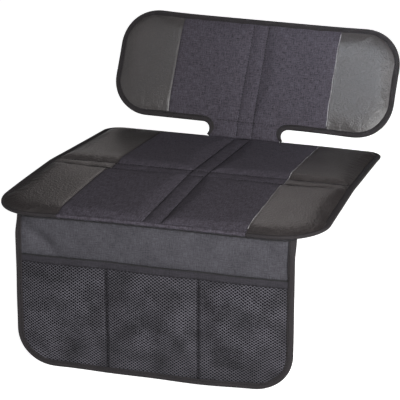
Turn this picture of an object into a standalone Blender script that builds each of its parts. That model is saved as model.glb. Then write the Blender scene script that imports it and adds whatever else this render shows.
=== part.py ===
"""Car seat protector mat: a padded seat section, a short leaning back section joined to it
by a narrow neck, and a flap with three net pockets that hangs from the seat's front edge.

Run with: blender --background --python part.py
Units are metres and +Z is up. X runs across the seat and +Y towards the seat back.
The origin is on the underside of the seat's front section, at its middle.

The mat is sewn from thin sheets. Each sheet is a grid whose points are placed by a formula
on the sheet's middle surface, and a Solidify modifier gives it its thickness.
"""

import math

import bmesh
import bpy
import numpy as np
from mathutils import Euler, Matrix, Vector

# Seat section
SEAT_WIDTH = 0.460
SEAT_DEPTH = 0.460
FRONT_DEPTH = 0.217  # front edge to the middle of the cross channel
SEAT_FRONT_RADIUS = 0.070
SEAT_REAR_RADIUS = 0.040
REAR_DIP = math.radians(4.6)  # the rear half falls towards the seat back

# Back section and the neck that joins it to the seat
BACK_WIDTH = SEAT_WIDTH  # the two sections are cut from one width
BACK_HEIGHT = 0.176
BACK_RADIUS = 0.062
BACK_LEAN = math.radians(32.5)  # from upright
NECK_WIDTH = 0.118
SLOT_GAP = 0.023  # open slot between the two sections, on each side of the neck
NECK_ALLOWANCE = 0.012  # strip of the neck's rear sheet sewn under the seat

# Flap and its pockets
FLAP_WIDTH = 0.390
FLAP_DROP = 0.221  # below the seat's underside
FLAP_RADIUS = 0.055
FLAP_SET_BACK = 0.0006  # front of the flap's edging behind the front of the seat's
FLAP_ALLOWANCE = 0.012
POCKET_COUNT = 3
POCKET_DEPTH = 0.163  # hem's top edge to the flap's bottom edge
POCKET_BULGE = 0.008
HEM_HEIGHT = 0.011
HEM_THICKNESS = 0.0014
NET_THICKNESS = 0.0008
NET_STRAND = 0.0045
NET_COLUMNS = 4  # net cells across one pocket
NET_ROWS = 5
NET_MARGIN = 0.016  # plain strip of net sewn in along the bottom

# Sheets, padding and edging
SIDE_PANEL = 0.100  # width of each imitation leather panel
CHANNEL_WIDTH = 0.025  # unpadded fold channel between two stitch lines
COVER_THICKNESS = 0.0010
UNDERLAY_THICKNESS = 0.0012
FOAM_THICKNESS = 0.0055
FOAM_SETBACK = 0.006  # foam's edge behind the stitch line that holds it
FOAM_ROUNDING = 0.002
FOAM_CORNER = 0.006
SHOULDER = 0.007  # run over which a cover climbs onto the foam
TAPE_WIDTH = 0.009
TAPE_THICKNESS = 0.0009
CLEARANCE = 0.0003
EDGE_PINCH = 0.0003  # how far the tape draws a sheet's edge into the mat

ARC_STEPS = 7  # rows in a cover's rounded corner, and segments in a foam board's
TAPE_ARC_STEPS = 14  # finer, so that the tape's straight segments stay clear of the covers' edges
LEAST_STEP = 0.0016  # closest spacing of two rows
SEAM_HALF_GAP = CLEARANCE / 2

# Heights above the underside, shared by the seat and the back section
EDGE_INSET = TAPE_THICKNESS + CLEARANCE
LOW_MIDDLE = UNDERLAY_THICKNESS + EDGE_PINCH + CLEARANCE + COVER_THICKNESS / 2
LOW_TOP = LOW_MIDDLE + COVER_THICKNESS / 2
FOAM_BOTTOM = UNDERLAY_THICKNESS + CLEARANCE
HIGH_MIDDLE = FOAM_BOTTOM + FOAM_THICKNESS + CLEARANCE + COVER_THICKNESS / 2
TAPE_UPPER = LOW_TOP + CLEARANCE + TAPE_THICKNESS / 2
TAPE_LOWER = -CLEARANCE - TAPE_THICKNESS / 2
PAD_START = TAPE_WIDTH + CLEARANCE  # from the outer edge to the foot of the shoulder

# Places along the seat's depth, measured on its underside
Y_FRONT = -FRONT_DEPTH / 2
CHANNEL_START = FRONT_DEPTH - CHANNEL_WIDTH / 2
CHANNEL_END = FRONT_DEPTH + CHANNEL_WIDTH / 2
SEAM_U = SEAT_WIDTH / 2 - SIDE_PANEL
BACK_SEAM_U = BACK_WIDTH / 2 - SIDE_PANEL
BACK_TOP = SLOT_GAP + BACK_HEIGHT

# Flap layers from front to rear, as Y
FLAP_FACE = Y_FRONT + FLAP_SET_BACK  # front of the flap's edging
POCKET_SPACE = HEM_THICKNESS + 2 * CLEARANCE
PANEL_FACE = FLAP_FACE + TAPE_THICKNESS + POCKET_SPACE  # at the pinched edge
PANEL_MIDDLE = PANEL_FACE + COVER_THICKNESS / 2 + EDGE_PINCH
ALLOWANCE_Z = TAPE_LOWER - TAPE_THICKNESS / 2 - CLEARANCE - COVER_THICKNESS / 2
FLAP_BOTTOM = -FLAP_DROP
HEM_TOP = FLAP_BOTTOM + POCKET_DEPTH
HEM_FOOT = HEM_TOP - HEM_HEIGHT
FLAP_SEWN = PANEL_MIDDLE + FLAP_ALLOWANCE - Y_FRONT  # seat's strip over the flap's end

FABRIC_GREY = (0.045, 0.041, 0.048)
LEATHER_GREY = (0.068, 0.064, 0.067)
FLAP_GREY = (0.080, 0.078, 0.088)
TAPE_GREY = (0.032, 0.030, 0.032)
NET_GREY = (0.050, 0.048, 0.054)
FOAM_GREY = (0.60, 0.60, 0.60)
UNDERLAY_GREY = (0.030, 0.030, 0.032)


def clear_scene():
    """Removes every object of the startup scene."""
    for thing in list(bpy.data.objects):
        bpy.data.objects.remove(thing, do_unlink=True)


def new_collection(name):
    """A collection linked to the scene."""
    made = bpy.data.collections.new(name)
    bpy.context.scene.collection.children.link(made)
    return made


def new_material(name, colour, roughness):
    """A Principled material of one colour."""
    made = bpy.data.materials.new(name)
    made.use_nodes = True
    shader = made.node_tree.nodes["Principled BSDF"]
    shader.inputs["Base Color"].default_value = (*colour, 1.0)
    shader.inputs["Roughness"].default_value = roughness
    shader.inputs["Metallic"].default_value = 0.0
    return made


def new_frame(name, collection, matrix):
    """An empty that carries the pieces of one flat stretch of the mat."""
    made = bpy.data.objects.new(name, None)
    made.matrix_world = matrix
    collection.objects.link(made)
    return made


def smooth(share):
    """Runs from 0 to 1 with level ends."""
    share = min(max(share, 0.0), 1.0)
    return share * share * (3 - 2 * share)


def slope_direction(angle):
    """Unit (y, z) of a line that falls by angle towards +Y."""
    return np.array([math.cos(angle), -math.sin(angle)])


# Corners of the seat's underside line in the (y, z) plane: front edge, channel start and end
LINE_FRONT = np.array([Y_FRONT, 0.0])
LINE_START = LINE_FRONT + CHANNEL_START * slope_direction(0.0)
LINE_END = LINE_START + CHANNEL_WIDTH * slope_direction(REAR_DIP / 2)


def seat_point(u, v, t):
    """Point at u across, v along the underside from the front edge and t above it.
    The fold is shared by the channel's two edges, where a layer meets on the mitre line."""
    on_start = abs(v - CHANNEL_START) < 1e-6
    on_end = abs(v - CHANNEL_END) < 1e-6
    if on_start:
        base, fall = LINE_START, REAR_DIP / 4
    elif on_end:
        base, fall = LINE_END, REAR_DIP * 3 / 4
    elif v < CHANNEL_START:
        base, fall = LINE_FRONT + v * slope_direction(0.0), 0.0
    elif v < CHANNEL_END:
        base, fall = LINE_START + (v - CHANNEL_START) * slope_direction(REAR_DIP / 2), REAR_DIP / 2
    else:
        base, fall = LINE_END + (v - CHANNEL_END) * slope_direction(REAR_DIP), REAR_DIP
    stretch = 1 / math.cos(REAR_DIP / 4) if on_start or on_end else 1.0
    return Vector((u, base[0] + t * stretch * math.sin(fall), base[1] + t * stretch * math.cos(fall)))


BACK_UP = Vector((0, math.sin(BACK_LEAN), math.cos(BACK_LEAN)))
BACK_NORMAL = Vector((0, -math.cos(BACK_LEAN), math.sin(BACK_LEAN)))
# The neck's front sheet comes down just behind the rear end of the seat's cover
BACK_FOOT = seat_point(0, SEAT_DEPTH - EDGE_INSET + CLEARANCE, LOW_TOP) - BACK_NORMAL * LOW_TOP


def back_point(u, h, n):
    """Point at u across, h up the back section from the seat's rear edge, n in front of its rear face."""
    return BACK_FOOT + Vector((u, 0, 0)) + BACK_UP * h + BACK_NORMAL * n


def flap_point(u, z, y):
    """Point of the hanging flap."""
    return Vector((u, y, z))


def merge_rows(fixed, optional):
    """Sorted rows: every fixed one, and each optional one that isn't too close to another."""
    rows = list(fixed)
    for value in optional:
        if min(abs(value - other) for other in rows) > LEAST_STEP:
            rows.append(value)
    return sorted(rows)


def arc_rows(radius, inset):
    """Distances from an edge of the rows that follow a rounded corner."""
    angles = [math.pi / 2 * i / ARC_STEPS for i in range(1, ARC_STEPS + 1)]
    return [radius - (radius - inset) * math.cos(a) for a in angles]


def half_width(full, from_end, radius, inset):
    """Half the width of a round-cornered outline, inset all round, at a distance from its end.
    Nearer the end than the inset there is no outline, and the corner's tangent point is given."""
    if from_end >= radius:
        return full / 2 - inset
    inner = radius - inset
    square = inner * inner - (radius - from_end) ** 2
    return full / 2 - radius + math.sqrt(max(square, 0.0))


def add_object(name, mesh_or_curve, collection, material, parent=None):
    """Links a new object with its material, and hangs it on a frame if one is given."""
    made = bpy.data.objects.new(name, mesh_or_curve)
    made.data.materials.append(material)
    collection.objects.link(made)
    if parent is not None:
        made.parent = parent
    return made


def grid_mesh(name, points):
    """Mesh of a grid primitive whose vertices are moved to points[row][column]."""
    rows, columns = len(points), len(points[0])
    grid = bmesh.new()
    bmesh.ops.create_grid(grid, x_segments=columns - 1, y_segments=rows - 1, size=1.0)
    for vertex in grid.verts:
        column = round((vertex.co.x + 1) / 2 * (columns - 1))
        row = round((vertex.co.y + 1) / 2 * (rows - 1))
        vertex.co = points[row][column]
    mesh = bpy.data.meshes.new(name)
    grid.to_mesh(mesh)
    grid.free()
    return mesh


def joined_grids(name, *grids):
    """One mesh of several grids that share the points along a common edge."""
    whole = bmesh.new()
    for points in grids:
        piece = grid_mesh(name, points)
        whole.from_mesh(piece)
        bpy.data.meshes.remove(piece)
    bmesh.ops.remove_doubles(whole, verts=whole.verts, dist=0.00001)
    mesh = bpy.data.meshes.new(name)
    whole.to_mesh(mesh)
    whole.free()
    return mesh


def thicken(sheet, thickness, even=True):
    """Gives a sheet its thickness, half on each side of its middle surface."""
    solid = sheet.modifiers.new("thickness", "SOLIDIFY")
    solid.thickness = thickness
    solid.offset = 0.0
    solid.use_even_offset = even
    sheet.data.shade_smooth()
    sheet.data.set_sharp_from_angle(angle=math.radians(40))


def pad_height(distances):
    """Middle height of a cover: low along stitching and edges, high over the foam."""
    rise = smooth(min(distances) / SHOULDER)
    return LOW_MIDDLE + (HIGH_MIDDLE - LOW_MIDDLE) * rise


def shoulder_rows(foot):
    """Foot, middle and top of a shoulder that starts at foot."""
    return [foot, foot + SHOULDER / 2, foot + SHOULDER]


def seat_rows():
    """Rows of the seat's centre cover, from front to rear."""
    near = [EDGE_INSET, *shoulder_rows(PAD_START)]
    return near + CROSS_ROWS + [SEAT_DEPTH - r for r in reversed(near)]


def seat_half_width(v, inset):
    """Half-width of the seat's outline, inset, at v from the front edge."""
    if v < SEAT_DEPTH / 2:
        return half_width(SEAT_WIDTH, v, SEAT_FRONT_RADIUS, inset)
    return half_width(SEAT_WIDTH, SEAT_DEPTH - v, SEAT_REAR_RADIUS, inset)


# Rows that shape the seat's cross channel: shoulder, floor's two edges, shoulder
CROSS_ROWS = [CHANNEL_START - s for s in (SHOULDER, SHOULDER / 2, 0)]
CROSS_ROWS += [CHANNEL_END + s for s in (0, SHOULDER / 2, SHOULDER)]


def cross_channel_distance(v):
    """How far v lies outside the seat's cross channel."""
    return max(CHANNEL_START - v, v - CHANNEL_END, 0.0)


def side_panel_rows(seam, width, length, radii, cross_rows):
    """Rows of (u, s, distance inside the outline) for a side panel. Each row starts on the seam,
    and its other points lie on lines parallel to the outline, so that both corners are true arcs."""
    insets = [*reversed(shoulder_rows(PAD_START)), EDGE_INSET]
    first, last = radii
    near = insets[0] + SHOULDER
    seam_places = list(np.linspace(near, max(first, near + SHOULDER), ARC_STEPS + 2))
    seam_places += cross_rows
    seam_places += [length - s for s in np.linspace(max(last, near + SHOULDER), near, ARC_STEPS + 2)]
    lines = [[(seam, s, min(s, length - s)) for s in seam_places]]
    for inset in insets:
        line = [(seam, inset)]
        line += corner_arc((width / 2 - first, first), first - inset, -90, 0, ARC_STEPS)
        line += [(width / 2 - inset, s) for s in cross_rows]
        line += corner_arc((width / 2 - last, length - last), last - inset, 0, 90, ARC_STEPS)
        line += [(seam, length - inset)]
        lines.append([(u, s, inset) for u, s in line])
    return [list(row) for row in zip(*lines)]


def make_seat_side_cover(name, side, collection, material):
    """Imitation leather panel along one side of the seat, in one piece over both pads."""
    radii = (SEAT_FRONT_RADIUS, SEAT_REAR_RADIUS)
    rows = side_panel_rows(SEAM_U + SEAM_HALF_GAP, SEAT_WIDTH, SEAT_DEPTH, radii, CROSS_ROWS)
    points = [
        [
            seat_point(side * u, v, pad_height([inset - PAD_START, cross_channel_distance(v)]))
            for u, v, inset in row
        ]
        for row in rows
    ]
    made = add_object(name, grid_mesh(name, points), collection, material)
    thicken(made, COVER_THICKNESS)
    return made


def centre_columns(seam):
    """Columns of a centre cover: seams, and the shoulders beside the lengthwise channel."""
    half = CHANNEL_WIDTH / 2
    right = [half, half + SHOULDER / 2, half + SHOULDER, seam - SEAM_HALF_GAP]
    return [-u for u in reversed(right)] + right


def long_channel_distance(u):
    """How far u lies outside the lengthwise channel."""
    return max(abs(u) - CHANNEL_WIDTH / 2, 0.0)


def make_seat_centre_cover(collection, material):
    """Woven cover of the seat's middle, quilted down along both channels."""
    points = []
    for v in seat_rows():
        edge = min(v, SEAT_DEPTH - v) - PAD_START
        row = []
        for u in centre_columns(SEAM_U):
            t = pad_height([edge, cross_channel_distance(v), long_channel_distance(u)])
            row.append(seat_point(u, v, t))
        points.append(row)
    made = add_object("seat_cover_centre", grid_mesh("seat_cover_centre", points), collection, material)
    thicken(made, COVER_THICKNESS)
    return made


def pinched_columns(edge, inner, is_level):
    """Columns of (u, pinch) from edge to edge. Between the inner two a level row has no pinch."""
    middle = 0.0 if is_level else EDGE_PINCH
    return [(-edge, EDGE_PINCH), (-inner, middle), (inner, middle), (edge, EDGE_PINCH)]


def make_seat_underlay(collection, material):
    """Non-slip sheet under the whole seat section. It is level but for its pinched edge."""
    level_rows = (FLAP_SEWN + CLEARANCE, SEAT_DEPTH - PAD_START)
    fixed = [EDGE_INSET, *level_rows, CHANNEL_START, CHANNEL_END, SEAT_DEPTH - EDGE_INSET]
    curved = arc_rows(SEAT_FRONT_RADIUS, EDGE_INSET)
    curved += [SEAT_DEPTH - r for r in arc_rows(SEAT_REAR_RADIUS, EDGE_INSET)]
    points = []
    for v in merge_rows(fixed, curved):
        is_level = level_rows[0] <= v <= level_rows[1]
        columns = pinched_columns(seat_half_width(v, EDGE_INSET), seat_half_width(v, PAD_START), is_level)
        points.append([seat_point(u, v, UNDERLAY_THICKNESS / 2 + pinch) for u, pinch in columns])
    made = add_object("seat_underlay", grid_mesh("seat_underlay", points), collection, material)
    thicken(made, UNDERLAY_THICKNESS)
    return made


def corner_arc(centre, radius, start, end, steps=TAPE_ARC_STEPS):
    """Points of an arc in the plane of a sheet, with start and end in degrees."""
    angles = np.radians(np.linspace(start, end, steps + 1))
    return [(centre[0] + radius * math.cos(a), centre[1] + radius * math.sin(a)) for a in angles]


def foam_outline(inner, outer, low, high, corners):
    """Round-cornered outline in (u, s).
    The corners' radii are given for inner low, outer low, outer high and inner high."""
    a, b, c, d = corners
    points = corner_arc((inner + a, low + a), a, 180, 270, ARC_STEPS)
    points += corner_arc((outer - b, low + b), b, 270, 360, ARC_STEPS)
    points += corner_arc((outer - c, high - c), c, 0, 90, ARC_STEPS)
    points += corner_arc((inner + d, high - d), d, 90, 180, ARC_STEPS)
    return points


def make_foam(name, outline, side, frame, collection, material):
    """Foam board: a flat outline with thickness and rounded edges, lying in its frame.
    The outline is drawn in by the rounding, which the curve's bevel then adds back."""
    curve = bpy.data.curves.new(name, "CURVE")
    curve.dimensions = "2D"
    curve.fill_mode = "BOTH"
    curve.extrude = FOAM_THICKNESS / 2 - FOAM_ROUNDING
    curve.bevel_depth = FOAM_ROUNDING
    curve.bevel_resolution = 1
    curve.offset = -FOAM_ROUNDING
    spline = curve.splines.new("POLY")
    spline.points.add(len(outline) - 1)
    for point, (u, s) in zip(spline.points, outline):
        point.co = (side * u, s, 0, 1)
    spline.use_cyclic_u = True
    made = add_object(name, curve, collection, material, frame)
    made.location = (0, 0, FOAM_BOTTOM + FOAM_THICKNESS / 2)
    weld = made.modifiers.new("weld", "WELD")
    weld.merge_threshold = 0.00001
    return made


def tape_mesh(name, paths, heights, place):
    """U-shaped tape: four lines, at the given insets and heights, joined across."""
    points = [
        [place(*paths[k][i], heights[k]) for k in range(len(heights))]
        for i in range(len(paths[0]))
    ]
    return grid_mesh(name, points)


def tape_section():
    """Insets and heights of the tape's middle line: over the mat, round its edge and under it."""
    insets = [TAPE_WIDTH, TAPE_THICKNESS / 2, TAPE_THICKNESS / 2, TAPE_WIDTH]
    heights = [TAPE_UPPER, TAPE_UPPER, TAPE_LOWER, TAPE_LOWER]
    return insets, heights


def seat_edge_path(inset):
    """Seat's outline from the right of the neck, round the front, to the left of the neck."""
    half, start = SEAT_WIDTH / 2, NECK_WIDTH / 2 + CLEARANCE
    rear, front = SEAT_REAR_RADIUS, SEAT_FRONT_RADIUS
    right = [(start, SEAT_DEPTH - inset)]
    right += corner_arc((half - rear, SEAT_DEPTH - rear), rear - inset, 90, 0)
    right += [(half - inset, CHANNEL_END), (half - inset, CHANNEL_START)]
    right += corner_arc((half - front, front), front - inset, 0, -90)
    return right + [(-u, v) for u, v in reversed(right)]


def make_seat_binding(collection, material):
    """Edging tape folded over the seat's outline, open where the neck joins."""
    insets, heights = tape_section()
    paths = [seat_edge_path(inset) for inset in insets]
    mesh = tape_mesh("seat_binding", paths, heights, seat_point)
    made = add_object("seat_binding", mesh, collection, material)
    thicken(made, TAPE_THICKNESS)
    return made


NECK_TAPE_FOOT = LOW_TOP + TAPE_THICKNESS + 2 * CLEARANCE  # keeps the neck's tape off the seat's


def back_edge_path(inset):
    """Back section's outline from the right side of the neck, over the top, to its left side."""
    half, radius, slot = BACK_WIDTH / 2, BACK_RADIUS, SLOT_GAP / 2
    right = [(NECK_WIDTH / 2 - inset, NECK_TAPE_FOOT)]
    right += corner_arc((NECK_WIDTH / 2 + slot, slot), slot + inset, 180, 90)
    right += corner_arc((half - radius, SLOT_GAP + radius), radius - inset, -90, 0)
    right += corner_arc((half - radius, BACK_TOP - radius), radius - inset, 0, 90)
    return right + [(-u, h) for u, h in reversed(right)]


def make_back_binding(collection, material):
    """Edging tape round the back section and down both sides of the neck."""
    insets, heights = tape_section()
    paths = [back_edge_path(inset) for inset in insets]
    mesh = tape_mesh("back_binding", paths, heights, back_point)
    made = add_object("back_binding", mesh, collection, material)
    thicken(made, TAPE_THICKNESS)
    return made


def back_rows():
    """Rows of the back section's centre cover above the slot, from bottom to top."""
    near = [EDGE_INSET, *shoulder_rows(PAD_START)]
    return near + [BACK_HEIGHT - r for r in reversed(near)]


def make_back_side_cover(name, side, collection, material):
    """Imitation leather panel at one end of the back section."""
    radii = (BACK_RADIUS, BACK_RADIUS)
    rows = side_panel_rows(BACK_SEAM_U + SEAM_HALF_GAP, BACK_WIDTH, BACK_HEIGHT, radii, [])
    points = [
        [back_point(side * u, SLOT_GAP + s, pad_height([inset - PAD_START])) for u, s, inset in row]
        for row in rows
    ]
    made = add_object(name, grid_mesh(name, points), collection, material)
    thicken(made, COVER_THICKNESS)
    return made


def make_back_centre_cover(collection, material):
    """Woven cover of the back section's middle, in one piece with the neck's front sheet."""
    neck = NECK_WIDTH / 2 - EDGE_INSET
    columns = sorted([*centre_columns(BACK_SEAM_U), -neck, neck])
    panel = []
    for s in back_rows():
        edge = min(s, BACK_HEIGHT - s) - PAD_START
        heights = [pad_height([edge, long_channel_distance(u)]) for u in columns]
        panel.append([back_point(u, SLOT_GAP + s, n) for u, n in zip(columns, heights)])
    neck_rows = [-COVER_THICKNESS / 2, SLOT_GAP / 2, SLOT_GAP + EDGE_INSET]
    neck_columns = [u for u in columns if abs(u) <= neck]
    strip = [[back_point(u, h, LOW_MIDDLE) for u in neck_columns] for h in neck_rows]
    mesh = joined_grids("back_cover_centre", panel, strip)
    made = add_object("back_cover_centre", mesh, collection, material)
    thicken(made, COVER_THICKNESS)
    return made


def meet(point, direction, other, other_direction):
    """Where two lines of the (y, z) plane cross."""
    point, direction = np.array(point), np.array(direction)
    sides = np.array([direction, -np.array(other_direction)]).T
    share = np.linalg.solve(sides, np.array(other) - point)
    return point + share[0] * direction


def make_back_rear_cover(collection, material):
    """Rear sheet of the back section and neck, whose end turns in under the seat and is sewn there."""
    level = UNDERLAY_THICKNESS / 2
    under = -CLEARANCE - UNDERLAY_THICKNESS / 2
    neck = NECK_WIDTH / 2 - EDGE_INSET
    panel = []
    curved = arc_rows(BACK_RADIUS, EDGE_INSET)
    curved += [BACK_HEIGHT - r for r in curved]
    near = [EDGE_INSET, PAD_START]
    for s in merge_rows(near + [BACK_HEIGHT - r for r in near], curved):
        from_end = min(s, BACK_HEIGHT - s)
        half, inner = (half_width(BACK_WIDTH, from_end, BACK_RADIUS, i) for i in near)
        columns = pinched_columns(half, inner, from_end >= PAD_START)
        columns[2:2] = [(u, columns[1][1]) for u in (-neck, neck)]
        panel.append([back_point(u, SLOT_GAP + s, level + pinch) for u, pinch in columns])
    sewn = seat_point(0, SEAT_DEPTH - EDGE_INSET - NECK_ALLOWANCE, under)
    foot = back_point(0, 0, level + EDGE_PINCH)
    bend = meet((foot.y, foot.z), (BACK_UP.y, BACK_UP.z), (sewn.y, sewn.z), slope_direction(REAR_DIP))
    middles = [sewn, Vector((0, *bend))]
    middles += [back_point(0, h, level + EDGE_PINCH) for h in (SLOT_GAP / 2, SLOT_GAP + EDGE_INSET)]
    strip = [[middle + Vector((u, 0, 0)) for u in (-neck, neck)] for middle in middles]
    mesh = joined_grids("back_rear_cover", panel, strip)
    made = add_object("back_rear_cover", mesh, collection, material)
    thicken(made, UNDERLAY_THICKNESS)
    return made


def flap_half_width(z, inset):
    """Half-width of the flap's outline, inset, at height z."""
    return half_width(FLAP_WIDTH, z - FLAP_BOTTOM, FLAP_RADIUS, inset)


def make_flap_panel(collection, material):
    """Woven flap, whose top turns back under the seat's front edge and is sewn there."""
    top = ALLOWANCE_Z
    level = FLAP_BOTTOM + PAD_START
    fixed = [FLAP_BOTTOM + EDGE_INSET, level, top]
    curved = [FLAP_BOTTOM + r for r in arc_rows(FLAP_RADIUS, EDGE_INSET)]
    points = []
    for z in merge_rows(fixed, curved):
        columns = pinched_columns(flap_half_width(z, EDGE_INSET), flap_half_width(z, PAD_START), z >= level)
        points.append([flap_point(u, z, PANEL_MIDDLE - pinch) for u, pinch in columns])
    points.append([p + Vector((0, FLAP_ALLOWANCE, 0)) for p in points[-1]])
    made = add_object("flap_panel", grid_mesh("flap_panel", points), collection, material)
    thicken(made, COVER_THICKNESS)
    return made


def flap_edge_path(inset):
    """Flap's outline from its top right, round the bottom, to its top left."""
    half, radius = FLAP_WIDTH / 2, FLAP_RADIUS
    top = ALLOWANCE_Z - COVER_THICKNESS / 2 - CLEARANCE
    right = [(half - inset, top)]
    right += corner_arc((half - radius, FLAP_BOTTOM + radius), radius - inset, 0, -90)
    return right + [(-u, z) for u, z in reversed(right)]


def make_flap_binding(collection, material):
    """Edging tape round the flap's sides and bottom, which also catches the net's edges."""
    insets = tape_section()[0]
    front = FLAP_FACE + TAPE_THICKNESS / 2
    rear = PANEL_FACE + COVER_THICKNESS + CLEARANCE + TAPE_THICKNESS / 2
    paths = [flap_edge_path(inset) for inset in insets]
    mesh = tape_mesh("flap_binding", paths, [front, front, rear, rear], flap_point)
    made = add_object("flap_binding", mesh, collection, material)
    thicken(made, TAPE_THICKNESS)
    return made


POCKET_HALF = FLAP_WIDTH / 2 - EDGE_INSET  # net's outer edge, inside the tape
TAPE_INNER = FLAP_WIDTH / 2 - TAPE_WIDTH - CLEARANCE  # where the net comes free of the tape
POCKET_WIDTH = FLAP_WIDTH / POCKET_COUNT


def pocket_bulge(u, z):
    """How far the net stands off the panel: nothing at its sewn edges, most in each pocket's middle."""
    place = (u + FLAP_WIDTH / 2) / POCKET_WIDTH
    index = min(max(int(place), 0), POCKET_COUNT - 1)
    left = max(-FLAP_WIDTH / 2 + index * POCKET_WIDTH, -TAPE_INNER)
    right = min(-FLAP_WIDTH / 2 + (index + 1) * POCKET_WIDTH, TAPE_INNER)
    across = math.sin(math.pi * min(max((u - left) / (right - left), 0.0), 1.0))
    foot = FLAP_BOTTOM + NET_MARGIN
    up = smooth((z - foot) / ((HEM_TOP - foot) / 2))
    return POCKET_BULGE * across * up


def net_y(u, z, thickness):
    """Middle of the net or hem, clear of the panel where it is sewn to it."""
    return PANEL_FACE - CLEARANCE - thickness / 2 - pocket_bulge(u, z)


def make_pocket_net(collection, material):
    """Net across all three pockets. Its cells are diamonds with open middles, in one sheet."""
    top = HEM_FOOT - CLEARANCE
    foot = FLAP_BOTTOM + NET_MARGIN
    margin = merge_rows([FLAP_BOTTOM + EDGE_INSET, foot], [FLAP_BOTTOM + EDGE_INSET * 4])
    rows = margin[:-1] + list(np.linspace(foot, top, NET_ROWS + 1))
    count = POCKET_COUNT * NET_COLUMNS
    inner = [-TAPE_INNER + i * 2 * TAPE_INNER / count for i in range(count + 1)]
    for i in range(1, POCKET_COUNT):
        inner[i * NET_COLUMNS] = -FLAP_WIDTH / 2 + i * POCKET_WIDTH
    for i in range(POCKET_COUNT):
        first, last = inner[i * NET_COLUMNS], inner[(i + 1) * NET_COLUMNS]
        inner[i * NET_COLUMNS:(i + 1) * NET_COLUMNS] = np.linspace(first, last, NET_COLUMNS + 1)[:-1]
    points = []
    for z in rows:
        half = flap_half_width(z, EDGE_INSET)
        limit = half - (POCKET_HALF - TAPE_INNER)
        columns = [u * min(1.0, limit / TAPE_INNER) for u in inner]
        row = [-half, *columns, half]
        points.append([flap_point(u, z, net_y(u, z, NET_THICKNESS)) for u in row])
    mesh = grid_mesh("pocket_net", points)
    net = bmesh.new()
    net.from_mesh(mesh)
    cells = [
        face
        for face in net.faces
        if face.calc_center_median().z > foot and abs(face.calc_center_median().x) < TAPE_INNER
    ]
    lines = {edge for face in cells for edge in face.edges if all(f in cells for f in edge.link_faces)}
    lines = [edge for edge in lines if len(edge.link_faces) == 2]
    bmesh.ops.poke(net, faces=cells)
    bmesh.ops.dissolve_edges(net, edges=[e for e in lines if e.is_valid], use_verts=False)
    diamonds = [
        face
        for face in net.faces
        if len(face.verts) == 4 and face.calc_center_median().z > foot and not is_level(face)
    ]
    bmesh.ops.inset_individual(net, faces=diamonds, thickness=NET_STRAND / 2, use_even_offset=True)
    bmesh.ops.delete(net, geom=diamonds, context="FACES")
    net.to_mesh(mesh)
    net.free()
    made = add_object("pocket_net", mesh, collection, material)
    thicken(made, NET_THICKNESS, even=False)
    return made


def is_level(face):
    """True for a plain grid cell, which has a level edge; a diamond has none."""
    return any(abs(e.verts[0].co.z - e.verts[1].co.z) < 1e-6 for e in face.edges)


def make_pocket_hem(collection, material):
    """Folded band along the net's top edge, sewn to the panel between the pockets."""
    steps = POCKET_COUNT * 8
    columns = [-POCKET_HALF, *np.linspace(-TAPE_INNER, TAPE_INNER, steps + 1), POCKET_HALF]
    for i in range(1, POCKET_COUNT):
        divider = -FLAP_WIDTH / 2 + i * POCKET_WIDTH
        nearest = min(range(len(columns)), key=lambda k: abs(columns[k] - divider))
        columns[nearest] = divider
    points = [
        [flap_point(u, z, net_y(u, z, HEM_THICKNESS)) for u in columns]
        for z in (HEM_FOOT, HEM_TOP)
    ]
    made = add_object("pocket_hem", grid_mesh("pocket_hem", points), collection, material)
    thicken(made, HEM_THICKNESS)
    return made


def make_foams(frames, collection, material):
    """Four boards in the seat and two in the back section, each inside its stitching."""
    edge = PAD_START + FOAM_SETBACK
    inner = CHANNEL_WIDTH / 2 + FOAM_SETBACK
    outer = SEAT_WIDTH / 2 - edge
    small = FOAM_CORNER
    front_corners = (small, SEAT_FRONT_RADIUS - edge, small, small)
    front = foam_outline(inner, outer, edge, CHANNEL_START - FOAM_SETBACK, front_corners)
    rear_corners = (small, small, SEAT_REAR_RADIUS - edge, small)
    rear_length = SEAT_DEPTH - CHANNEL_END
    rear = foam_outline(inner, outer, FOAM_SETBACK, rear_length - edge, rear_corners)
    back_corner = BACK_RADIUS - edge
    back_corners = (small, back_corner, back_corner, small)
    back = foam_outline(inner, BACK_WIDTH / 2 - edge, SLOT_GAP + edge, BACK_TOP - edge, back_corners)
    for side, word in ((-1, "left"), (1, "right")):
        make_foam(f"seat_foam_front_{word}", front, side, frames["front"], collection, material)
        make_foam(f"seat_foam_rear_{word}", rear, side, frames["rear"], collection, material)
        make_foam(f"back_foam_{word}", back, side, frames["back"], collection, material)


def make_frames(collection):
    """One empty for each flat stretch: local Y runs along it and local Z out of its upper face."""
    front = Matrix.Translation((0, Y_FRONT, 0))
    rear = Matrix.Translation((0, *LINE_END)) @ Matrix.Rotation(-REAR_DIP, 4, "X")
    back = Matrix.Translation(BACK_FOOT) @ Euler((math.pi / 2 - BACK_LEAN, 0, 0)).to_matrix().to_4x4()
    return {
        "front": new_frame("frame_seat_front", collection, front),
        "rear": new_frame("frame_seat_rear", collection, rear),
        "back": new_frame("frame_back", collection, back),
    }


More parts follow.
